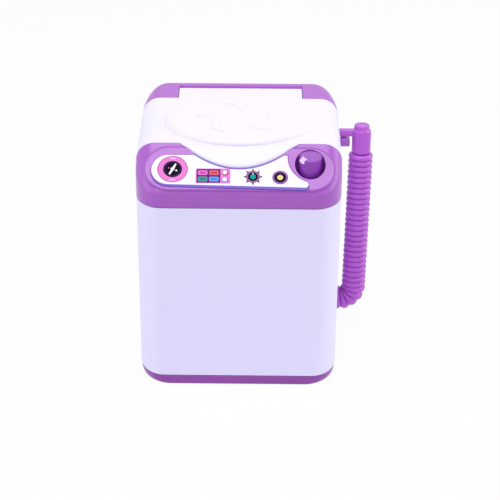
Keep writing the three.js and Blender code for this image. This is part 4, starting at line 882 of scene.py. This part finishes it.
def make_base():
    """A tray with a turned-under rim, with room for the battery door and the four screws."""
    rings = []
    for up, inward in quarter_round(1, soft_steps):
        inset = tray_inset_top + (tray_inset_bottom - tray_inset_top) * inward
        rings.append(plan_ring(side_draft + inset, base_top * up * tray_turn_share, tray_rounder * inward))
    rings.append(plan_ring(side_draft + tray_inset_top, base_top - gap))
    rings.append(plan_ring(side_draft + tray_inset_top + gap, base_top))
    body = loft(rings)
    cut(body, prism(plan_outline(side_draft + tray_inset_bottom + wall), wall, base_top + overrun))
    (x0, y0), (x1, y1) = on_plan(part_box("battery_door"))
    cut(body, block(x0 - gap, x1 + gap, y0 - gap, y1 + gap, -overrun, base_top))
    for number in range(1, 5):
        (x0, y0), (x1, y1) = on_plan(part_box(f"base_screw_{number}"))
        cut(body, rod((x0 + x1) / 2, (y0 + y1) / 2, -overrun, base_top, (x1 - x0) / 2 + gap))
    finish_piece(body, "base_tray_shell", "housing", "base_purple", ["base_tray"])


# Control fascia, label and knob


def leaned(body):
    """Leans a body, made upright on the knob's axis, to the front about the middle of the well's mouth."""
    middle = Vector((knob_x, knob_y, knob_middle))
    lean = Matrix.Rotation(knob_lean, 4, "X")
    body.data.transform(Matrix.Translation(middle) @ lean @ Matrix.Translation(-middle))
    return body


def make_fascia():
    body = roofed_form(slope_height, 0, skirt_bottom, rim=edge)
    overlap(body, in_front_of(lid_front))
    outer_side = [(0, -wall)] + [(inset, lip_top - drop) for inset, drop in quarter_round(lip_edge)]
    bezel = slab_on_slope(bezel_outline, outer_side)
    foot = (lip_width - lip_foot, bezel_rise + lip_foot / 2)
    inner_side = [(lip_width, bezel_rise), foot, (lip_edge, lip_top), (lip_edge, 2 * lip_top)]
    cut(bezel, slab_on_slope(bezel_outline, inner_side))
    overlap(bezel, in_front_of(lid_front), prism(plan_outline(0), skirt_bottom, far))
    join(body, bezel)
    hollow = roofed_form(slope_height, wall, skirt_bottom - overrun)
    overlap(hollow, in_front_of(lid_front - wall))
    cut(body, hollow)
    cup = leaned(rod(knob_x, knob_y, knob_floor - wall, knob_top, well_radius + wall, round_steps))
    limit = slab_on_slope(bezel_outline, [(0, -2 * well_radius), (0, bezel_rise - gap)])
    overlap(cup, limit, prism(plan_outline(overrun), 0, far))
    join(body, cup)
    half = edge / 2
    seat_side = [(0, bezel_rise - label_recess), (0, bezel_rise - half), (-half, bezel_rise)]
    spindle_hole = spindle_radius + running_fit
    cut(
        body,
        leaned(rod(knob_x, knob_y, knob_floor, far, well_radius, round_steps)),
        leaned(rod(knob_x, knob_y, knob_floor - 2 * wall, knob_floor + overrun, spindle_hole)),
        slab_on_slope(label_outline, seat_side + [(-edge, bezel_rise + edge)]),
        tongue_room(side_gap),
    )
    finish_piece(body, "control_fascia_shell", "housing", "panel_purple", ["control_fascia"])


def make_label():
    stations = [(gap, label_low), (gap, label_top - label_edge), (gap + label_edge, label_top)]
    body = cut(slab_on_slope(label_outline, stations), tongue_room(side_gap + hair))
    # the film's violet-blue shows round the white field, and along the tongue as a painted shadow
    film = inks["violet_blue"]
    finish_piece(body, "control_label_film", "housing", "label_film", ["control_label"], film)


def make_knob():
    """The knob has a flat facet cut into its rim as a pointer, and the facet is coloured pale lilac as a
    painted highlight.
    """
    low = knob_floor + gap
    rim = [(knob_radius - inset, knob_top - drop) for inset, drop in quarter_round(knob_edge)]
    body = turned(knob_x, knob_y, [(knob_radius - gap, low), (knob_radius, low + gap)] + rim)
    half = knob_radius / 2
    facet = block(-pointer_width / 2, pointer_width / 2, -half, half, -half, half)
    facet.data.transform(
        Matrix.Translation((knob_x, knob_y, 0))
        @ Matrix.Rotation(pointer_turn, 4, "Z")
        @ Matrix.Translation((0, -knob_radius, knob_top + (knob_radius - pointer_depth) / 2))
        @ Matrix.Rotation(pointer_slope, 4, "X")
    )
    cut(body, facet)
    leaned_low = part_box("control_knob")[0].z / MM + spindle_radius * sin(knob_lean)
    spindle_low = knob_middle + (leaned_low - knob_middle) / cos(knob_lean)
    join(body, rod(knob_x, knob_y, spindle_low, low + overrun, spindle_radius))
    leaned(body)
    finish_piece(body, "control_knob_grip", "knob", "knob_purple", ["control_knob"], smooth_angle=28)
    # pale lilac on the facet is a painted highlight, where the facet would mirror a lamp
    body.data.materials.append(inks["facet_highlight_lilac"])
    facet_looks = Vector((0, -sin(pointer_slope), cos(pointer_slope)))
    facet_looks.rotate(Matrix.Rotation(knob_lean, 3, "X") @ Matrix.Rotation(pointer_turn, 3, "Z"))
    for face in body.data.polygons:
        if face.normal.dot(facet_looks) > same_way:
            face.material_index = 1


# Lid and rear frame


def upper_region(right):
    """A prism through the lid's and the frame's height, from the right half of a mirrored outline."""
    return prism(both_halves(right), seam_height - overrun, far)


def lid_region():
    front = lid_front + side_gap
    back = frame_front - side_gap
    return upper_region([(far, front), (far, back), (tab_half, back), (tab_half, hinge_y)])


def frame_region(inset):
    inner = tab_half + side_gap + inset
    front = frame_front + inset
    strip = hinge_y + knuckle_radius + side_gap + inset
    return upper_region([(inner, strip), (inner, front), (far, front), (far, far)])


def hinge_rod(reach, radius, steps=rod_steps):
    """A rod on the hinge's axis that reaches equally far to both sides."""
    body = rod(0, 0, -reach, reach, radius, steps)
    return lay_along_x(body, 0, hinge_y, crown_height(hinge_y) - knuckle_radius)


def raised_on_crown(outline_at, reach, height, rise, low):
    """A raised patch on the lid whose top follows the crown. Its rim is rounded over a reach and a height."""
    stations = [(0.0, -low)] + soft_rim(reach, height, rise)
    rings = [[(x, y, crown_height(y) + off) for x, y in outline_at(inset)] for inset, off in stations]
    rim = rings[-1]
    middle_of_patch = [sum(point[axis] for point in rim) / len(rim) for axis in (0, 1)]
    for share in patch_shares:
        still = [place * (1 - share) for place in middle_of_patch]
        inner = [(still[0] + x * share, still[1] + y * share) for x, y, _ in rim]
        rings.append([(x, y, crown_height(y) + rise) for x, y in inner])
    return loft(rings)


def pad_outline(inset):
    return ellipse(0, pad_y, pad_half_x - inset, pad_half_y - inset, 2 * round_steps)


def drop_outline(middle, turn, inset):
    """A comma: a round head that narrows to a bent point."""
    points = []
    for i in range(drop_steps):
        around = 2 * pi * i / drop_steps
        along = cos(around)
        x = (drop_length / 2 - inset) * along
        y = (drop_width / 2 - inset) * sin(around) * sin(around / 2) + drop_bend * along * along
        points.append((x, y))
    return set_down(points, middle, turn)


def make_drop(number):
    turn = 2 * pi * (number + drop_first) / drop_count
    x = (pad_half_x - drop_from_end_x) * cos(turn)
    y = pad_y + (pad_half_y - drop_from_end_y) * sin(turn)
    outline_at = lambda inset: drop_outline((x, y), turn + drop_lean, inset)
    return raised_on_crown(outline_at, drop_rim_reach, drop_rise, pad_rise + drop_rise, 0)


def make_lid():
    body = overlap(roofed_form(lid_height, 0, seam_height, rim=edge), lid_region())
    tongue_side = [(0, -tongue_sink)] + soft_rim(tongue_rim_reach, tongue_rim_drop, tongue_rise)
    tongue_side.append((tongue_rim_reach, 4 * tongue_rise))
    join(body, overlap(roofed_form(lid_height, 0, skirt_bottom), slab_on_slope(tongue_outline, tongue_side)))
    hollow = roofed_form(crown_height, wall, seam_height - overrun)
    overlap(hollow, behind(lid_front + side_gap))
    front = lid_front - overrun
    relief = [
        (front, seam_height - overrun),
        (lid_front + side_gap + swing_relief, seam_height - overrun),
        (lid_front + side_gap, front_top - wall),
        (front, front_top - wall),
    ]
    cut(body, hollow, bar_along_x(relief, -far, far))
    pad = raised_on_crown(pad_outline, pad_rim_reach, pad_rise, pad_rise, wall / 2)
    join(body, overlap(pad, in_front_of(frame_front - side_gap)))
    join(body, *[make_drop(number) for number in range(drop_count)])
    join(body, hinge_rod(tab_half, knuckle_radius, round_steps))
    join(body, hinge_rod(tab_half + hinge_pin_length, hinge_pin_radius))
    finish_piece(body, "lid_shell", "lid", "shell_white", ["lid"], smooth_angle=30)


def make_rear_frame():
    body = roofed_form(crown_height, 0, seam_height, rim=edge)
    overlap(body, frame_region(0))
    hollow = roofed_form(crown_height, wall, seam_height - overrun)
    cut(body, overlap(hollow, frame_region(wall)))
    holes = hinge_rod(tab_half + hinge_pin_length + side_gap, hinge_pin_radius + running_fit)
    front = hinge_y + knuckle_radius + side_gap
    top = crown_height(front)
    bevel = [
        (front - overrun, top - wall),
        (front, top - wall),
        (front + wall, top + overrun),
        (front - overrun, top + overrun),
    ]
    cut(body, holes, bar_along_x(bevel, -tab_half - side_gap, tab_half + side_gap))
    finish_piece(body, "rear_frame_shell", "housing", "panel_purple", ["rear_frame"])


# Wash tub, basket and pulsator


def make_tub():
    body = prism(plan_outline(wall + gap), deck_low, deck_top)
    overlap(body, behind(lid_front + gap))
    cup = bowl(tub_radius, tub_bottom, outer_curve * tub_wall) + [(tub_radius, deck_low + overrun)]
    hub = rod(0, drum_y, tub_bottom - hub_depth, tub_bottom + tub_wall, hub_radius, round_steps)
    join(body, turned(0, drum_y, cup), hub)
    inner = tub_radius - tub_wall
    room = bowl(inner, tub_bottom + tub_wall, inner_curve * tub_wall)
    room += [(inner + out, deck_top - down) for out, down in tub_mouth]
    room.append((inner + tub_mouth[-1][0], far))
    cut(
        body,
        turned(0, drum_y, room),
        rod(0, drum_y, 0, tub_bottom - gap, hub_radius - hub_wall),
        rod(0, drum_y, 0, far, shaft_radius + gap),
    )
    finish_piece(body, "wash_tub_shell", "housing", "inner_white", ["wash_tub"])


def make_slot(number, row, z):
    """A long round-ended hole through both walls of the basket, as a tool."""
    half = slot_width / 2
    outline = []
    for i in range(slot_sides):
        turn = -2 * pi * (i + 0.5) / slot_sides
        end = copysign(slot_length / 2 - half, sin(turn))
        outline.append((half * cos(turn), end + half * sin(turn)))
    reach = slot_tool_reach * basket_radius
    slot = loft([[(x, across, up) for x, up in outline] for across in (-reach, reach)])
    return spin_about_drum(slot, 2 * pi * (number + row / 2) / slot_count, z)


def make_basket():
    side = bowl(basket_radius, basket_bottom, outer_curve * basket_wall)
    for out, down in basket_rim_line:
        side.append((basket_radius + basket_rim * out, basket_top - basket_rim * down))
    body = turned(0, drum_y, side)
    inner = basket_radius - basket_wall
    room = bowl(inner, basket_bottom + basket_wall, inner_curve * basket_wall)
    room += [(inner + out, basket_top - down) for out, down in basket_mouth]
    cut(body, turned(0, drum_y, room), rod(0, drum_y, 0, basket_top, shaft_radius))
    pitch = (basket_top - basket_bottom) / (slot_rows + slot_spare)
    for row in range(slot_rows):
        for number in range(slot_count // 2):
            cut(body, make_slot(number, row, basket_bottom + pitch * (row + (1 + slot_spare) / 2)))
    finish_piece(body, "spin_basket_shell", "drum", "inner_white", ["spin_basket"])


def make_pulsator():
    low = basket_bottom + basket_wall + gap
    dome_low = low + pulsator_disc / 2
    dome_height = pulsator_disc / 2 + pulsator_dome
    profile = [(pulsator_radius - gap, low), (pulsator_radius, low + gap), (pulsator_radius, dome_low)]
    for i in range(dome_steps + 1):
        share = i / dome_steps
        radius = pulsator_radius * (1 - share) + hub_radius * dome_top_share * share
        profile.append((radius, dome_low + gap + dome_height * share**3))
    body = turned(0, drum_y, profile)
    half = vane_thickness / 2
    for i in range(vane_count):
        vane = block(0, pulsator_radius - wall, -half, half, low + gap, low + vane_height, vane_edge)
        join(body, spin_about_drum(vane, 2 * pi * i / vane_count + quarter_turn / 2))
    cut(body, rod(0, drum_y, 0, low + pulsator_disc, shaft_radius))
    finish_piece(body, "pulsator_disc", "drum", "panel_purple", ["pulsator"])


# Drain hose, nozzle and holder


def hose_at(distance):
    """Place and direction on the hose's middle line: out of the wall, round the bend and up to the nozzle."""
    if distance < hose_run:
        return hose_start_x + distance, outlet_height, 0.0
    turn = min((distance - hose_run) / hose_bend, bend_turn)
    rest = max(0.0, distance - hose_run - hose_arc)
    x = bend_x + hose_bend * sin(turn) + rest * cos(turn)
    return x, bend_z - hose_bend * cos(turn) + rest * sin(turn), turn


def hose_ring(distance, radius):
    x, z, turn = hose_at(distance)
    circle = ellipse(0, drain_y, radius, radius, hose_sides)
    return [(x + out * sin(turn), y, z - out * cos(turn)) for out, y in circle]


def make_hose():
    """A ribbed skin outside and a smooth bore inside, joined at both ends."""
    length = hose_run + hose_arc + hose_straight - gap
    ribs = round(length / rib_pitch)
    pitch = length / ribs
    rings = []
    for i in range(ribs * rib_steps + 1):
        share = (i % rib_steps) / rib_steps
        swell = max(0.0, sin(pi * share)) ** rib_fullness
        rings.append(hose_ring(pitch * i / rib_steps, hose_valley + (hose_crest - hose_valley) * swell))
    for i in range(ribs * 2, -1, -1):
        rings.append(hose_ring(pitch * i / 2, hose_bore))
    body = loft(rings, looped=True)
    finish_piece(body, "drain_hose_tube", "hose", "hose_purple", ["drain_hose"], smooth_angle=60)


def make_nozzle():
    """A stepped nozzle with a dimpled tip, its arm and the peg that drops into the holder's slot."""
    low = hose_top + gap
    collar = [(nozzle_radius - nozzle_edge, low), (nozzle_radius, low + nozzle_edge)]
    collar += [(radius, nozzle_shoulder + up) for radius, up in nozzle_step]
    rim = [(nozzle_tip_radius - inset, nozzle_top - drop) for inset, drop in quarter_round(nozzle_tip_edge)]
    dimple = [(radius, nozzle_top + up) for radius, up in nozzle_dimple]
    body = turned(hose_top_x, drain_y, collar + rim + dimple)
    half = arm_width / 2
    arm_top = arm_bottom + arm_height
    arm = block(half_width + gap, hose_top_x, drain_y - half, drain_y + half, arm_bottom, arm_top, arm_edge)
    peg = [(peg_radius - peg_tip_inset, peg_bottom), (peg_radius, peg_bottom + peg_tip_rise)]
    peg.append((peg_radius, arm_bottom + overrun))
    plug = rod(hose_top_x, drain_y, hose_top - 2 * rib_pitch, low + overrun, hose_bore - 2 * gap)
    join(body, arm, turned(peg_x, drain_y, peg, rod_steps), plug)
    cut(body, rod(hose_top_x, drain_y, 0, nozzle_top - nozzle_end, nozzle_bore))
    finish_piece(body, "hose_nozzle_body", "hose", "hose_purple", ["hose_nozzle"])


def make_holder():
    x0 = half_width + gap
    half = holder_width / 2
    low = holder_top - holder_height
    body = block(x0, x0 + holder_reach, drain_y - half, drain_y + half, low, holder_top, edge)
    low -= holder_height
    high = holder_top + overrun
    slot = block(peg_x - holder_slot, peg_x + holder_slot, drain_y, drain_y + holder_width, low, high)
    cut(body, slot, rod(peg_x, drain_y, low, high, holder_slot))
    join(body, holder_tenon(0))
    purple = slot_finish["panel_purple"]
    finish_piece(body, "hose_holder_arm", "housing", "base_purple", ["hose_holder"], purple)


def finish_packed_nodes():
    """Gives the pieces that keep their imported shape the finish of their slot."""
    for part in frame["record"]["subparts"]:
        node = frame["nodes"][part["node"]]
        if node.hide_render:
            continue
        node.data.materials.clear()
        node.data.materials.append(slot_finish[part["material_slot"]])


# Printed marks on the label


def printed_patch(outline, layer):
    """A thin patch on the label: layer counts up from the film."""
    low = label_top + print_gap + layer * print_thickness
    return on_slope([[(x, up, off) for x, up in outline] for off in (low, low + print_thickness)])


def print_on_label(name, outline, layer, colour):
    body = printed_patch(outline, layer)
    finish_piece(body, "print_" + name, "housing", "label_film", material=inks[colour])


def disc(middle, radius, across=0.0, up=0.0, steps=48):
    """A round outline, set off from the middle by across and up."""
    return ellipse(middle[0] + across, middle[1] + up, radius, radius, steps)


def bar(middle, length, width, end_width, turn=0.0, up=0.0):
    """A strip through the middle, or a place above it, which narrows towards its ends."""
    half = length / 2
    ends = end_width / 2
    corners = ((-half, -ends), (0, -width / 2), (half, -ends), (half, ends), (0, width / 2), (-half, ends))
    return set_down(corners, (middle[0], middle[1] + up), turn)


def print_rings(name, middle, layer, rings, steps=48):
    """Discs on one middle, each smaller than the last and one layer up."""
    for number, (part, radius, colour) in enumerate(rings):
        print_on_label(f"{name}_{part}", disc(middle, radius, steps=steps), layer + number, colour)


def print_white_area():
    """The white field, which leaves a violet-blue line of the film showing at its edges, and along the tongue
    a line that is a painted shadow of the tongue's lip.
    """
    outline = label_shape(white_end, white_end_radius, white_tip, white_tip_radius, hollow_radius + gap)
    # the film left showing along the tongue is a painted shadow of the lid's tongue
    body = cut(printed_patch(outline, 0), tongue_room(side_gap + tongue_shadow_line))
    finish_piece(body, "print_white_area", "housing", "label_film")


def print_big_dial():
    print_rings("dial", big_dial, 1, (("rim", 8.4, "plum"), ("pink", 8.05, "pink")), round_steps)
    for side, name in ((1, "top"), (-1, "bottom")):
        patch = bar(big_dial, 3.6, 1.3, 0.7, up=side * dial_light_up)
        print_on_label("dial_light_" + name, patch, 3, "pale_pink")
    face = (("black", 5.2, "black"), ("grey_ring", 4.5, "slate"), ("face", 4.2, "black"))
    print_rings("dial", big_dial, 3, face, round_steps)
    print_on_label("dial_pointer", bar(big_dial, 7.6, 1.5, 0.9, radians(63)), 6, "white")
    print_on_label("dial_hub", disc(big_dial, 1.05), 7, "white")
    print_on_label("dial_dot_left", disc(big_dial, 0.45, -2.1, 0.7), 6, "magenta")
    print_on_label("dial_dot_right", disc(big_dial, 0.6, 2.1, -0.9), 6, "white")


def print_buttons():
    """Two columns of coloured keys on a grape field, and two round lights on the pink field round it."""
    field = rounded_rectangle(buttons_left, buttons_right, buttons_low, buttons_high, field_corner)
    print_on_label("button_field", field, 1, "pink")
    across = (buttons_left + key_field_left, buttons_left + key_field_right)
    up = (buttons_low + key_field_inset, buttons_high - key_field_inset)
    print_on_label("key_field", rounded_rectangle(*across, *up, key_field_corner), 2, "grape")
    keys = (
        ("magenta", 0, 1, "pink"),
        ("red", 1, 1, "salmon"),
        ("teal", 0, 0, "pale_teal"),
        ("blue", 1, 0, "sky"),
    )
    for colour, column, row, rim_colour in keys:
        left = buttons_left + key_left + column * key_pitch_across
        low = buttons_low + key_low + row * key_pitch_up
        right, high = left + key_width, low + key_height
        rim = rounded_rectangle(left, right, low, high, key_rim_corner)
        print_on_label(f"key_{colour}_rim", rim, 3, rim_colour)
        across = (left + key_rim_across, right - key_rim_across)
        up = (low + key_rim_up, high - key_rim_up)
        print_on_label(f"key_{colour}", rounded_rectangle(*across, *up, key_corner), 4, colour)
    for name, up, colour in (("upper", 12.3, "maroon"), ("lower", 7.8, "blue")):
        light = (buttons_right - light_from_right, up)
        print_on_label(f"light_{name}_rim", disc(light, light_radius), 2, colour)
        print_on_label(f"light_{name}", disc(light, light_face_radius, -0.15, 0.2), 3, "white")


def print_spoked_dial():
    for i in range(spoke_count):
        turn = 2 * pi * i / spoke_count
        spoke = (spoked_dial[0] + spoke_reach * cos(turn), spoked_dial[1] + spoke_reach * sin(turn))
        print_on_label(f"spoke_{i + 1}", bar(spoke, 2.4, 1.0, 0.5, turn), 1, "black")
    rings = (
        ("rim", 3.85, "plum"),
        ("ring", 3.5, "mauve"),
        ("black", 2.75, "black"),
        ("teal", 1.6, "bright_teal"),
    )
    print_rings("spoked", spoked_dial, 2, rings)
    print_on_label("spoked_mark", bar(spoked_dial, 0.5, 1.2, 0.7, up=1.9), 6, "white")


def print_ring_dial():
    rings = (
        ("rim", 4.3, "plum"),
        ("mauve", 3.95, "mauve"),
        ("grape", 3.4, "grape"),
        ("black", 2.95, "black"),
        ("yellow", 1.65, "yellow"),
    )
    print_rings("ring", ring_dial, 1, rings)
    print_on_label("ring_mark", bar(ring_dial, 0.5, 0.9, 0.5, up=2), 6, "slate")


# Stage, light and camera


def background_rays(tree):
    """1 for a ray that shows the background: straight from the lens, or by way of gloss or glass."""
    path = add_node(tree, "ShaderNodeLightPath")
    shown = path.outputs["Is Camera Ray"]
    for kind in ("Is Glossy Ray", "Is Transmission Ray"):
        shown = add_node(tree, "ShaderNodeMath", {0: shown, 1: path.outputs[kind]}, operation="MAXIMUM")
    return shown


def make_stage():
    """A floor of pale paper that looks nearly white and keeps the machine's soft shadow."""
    mesh = bpy.data.meshes.new("floor")
    corners = [(-1, -1), (1, -1), (1, 1), (-1, 1)]
    mesh.from_pydata([(floor_half * x, floor_half * y, 0) for x, y in corners], [], [(0, 1, 2, 3)])
    floor = add_object("floor", mesh)
    floor.location.z = -floor_drop
    material, tree = new_material("pale_floor_paper")
    paper = add_node(tree, "ShaderNodeBsdfDiffuse", {"Color": paper_colour})
    glow = add_node(tree, "ShaderNodeEmission", {"Color": white, "Strength": 1.0})
    share = {0: background_rays(tree), 1: background_share}
    seen = add_node(tree, "ShaderNodeMath", share, operation="MULTIPLY")
    mixed = add_node(tree, "ShaderNodeMixShader", {0: seen, 1: paper, 2: glow})
    add_node(tree, "ShaderNodeOutputMaterial", {"Surface": mixed})
    mesh.materials.append(material)


def make_world():
    """A pale room with a darker ceiling, which shows as plain white behind the machine."""
    world = bpy.data.worlds.new("studio")
    bpy.context.scene.world = world
    world.use_nodes = True
    tree = world.node_tree
    tree.nodes.clear()
    direction = add_node(tree, "ShaderNodeTexCoord").outputs["Generated"]
    height = add_node(tree, "ShaderNodeSeparateXYZ", {"Vector": direction}).outputs["Z"]
    level = map_range(tree, height, ceiling_from, ceiling_to, room_level, ceiling_level)
    room = add_node(tree, "ShaderNodeBackground", {"Color": room_colour, "Strength": level})
    backdrop = add_node(tree, "ShaderNodeBackground", {"Color": white, "Strength": 1.0})
    mixed = add_node(tree, "ShaderNodeMixShader", {0: background_rays(tree), 1: room, 2: backdrop})
    add_node(tree, "ShaderNodeOutputWorld", {"Surface": mixed})


def add_softbox(name, place, width, depth, power):
    """A lamp with a soft rectangular face that looks at the machine from its place."""
    lamp = bpy.data.lights.new(name, "AREA")
    lamp.shape = "RECTANGLE"
    lamp.size = width
    lamp.size_y = depth
    lamp.energy = power
    holder = add_object(name, lamp)
    holder.location = place
    aim = Vector((0, 0, half_width * MM))
    holder.rotation_euler = (aim - Vector(place)).to_track_quat("-Z", "Y").to_euler()


def make_camera():
    camera = bpy.data.cameras.new("photo_view")
    camera.sensor_width = film_width
    camera.lens = camera.sensor_width * focal_pixels / image_pixels
    holder = add_object("photo_view", camera)
    holder.matrix_world = (
        Matrix.Translation(camera_place)
        @ Matrix.Rotation(camera_swing, 4, "Z")
        @ Matrix.Rotation(quarter_turn - camera_pitch, 4, "X")
        @ Matrix.Rotation(camera_roll, 4, "Z")
    )
    bpy.context.scene.camera = holder


make_camera()
make_world()
for softbox in softboxes:
    add_softbox(*softbox)
make_stage()
make_cabinet()
make_base()
make_fascia()
make_label()
make_knob()
make_lid()
make_rear_frame()
make_tub()
make_basket()
make_pulsator()
make_hose()
make_nozzle()
make_holder()
print_white_area()
print_big_dial()
print_buttons()
print_spoked_dial()
print_ring_dial()
finish_packed_nodes()

bpy.context.scene.view_settings.view_transform = "Standard"
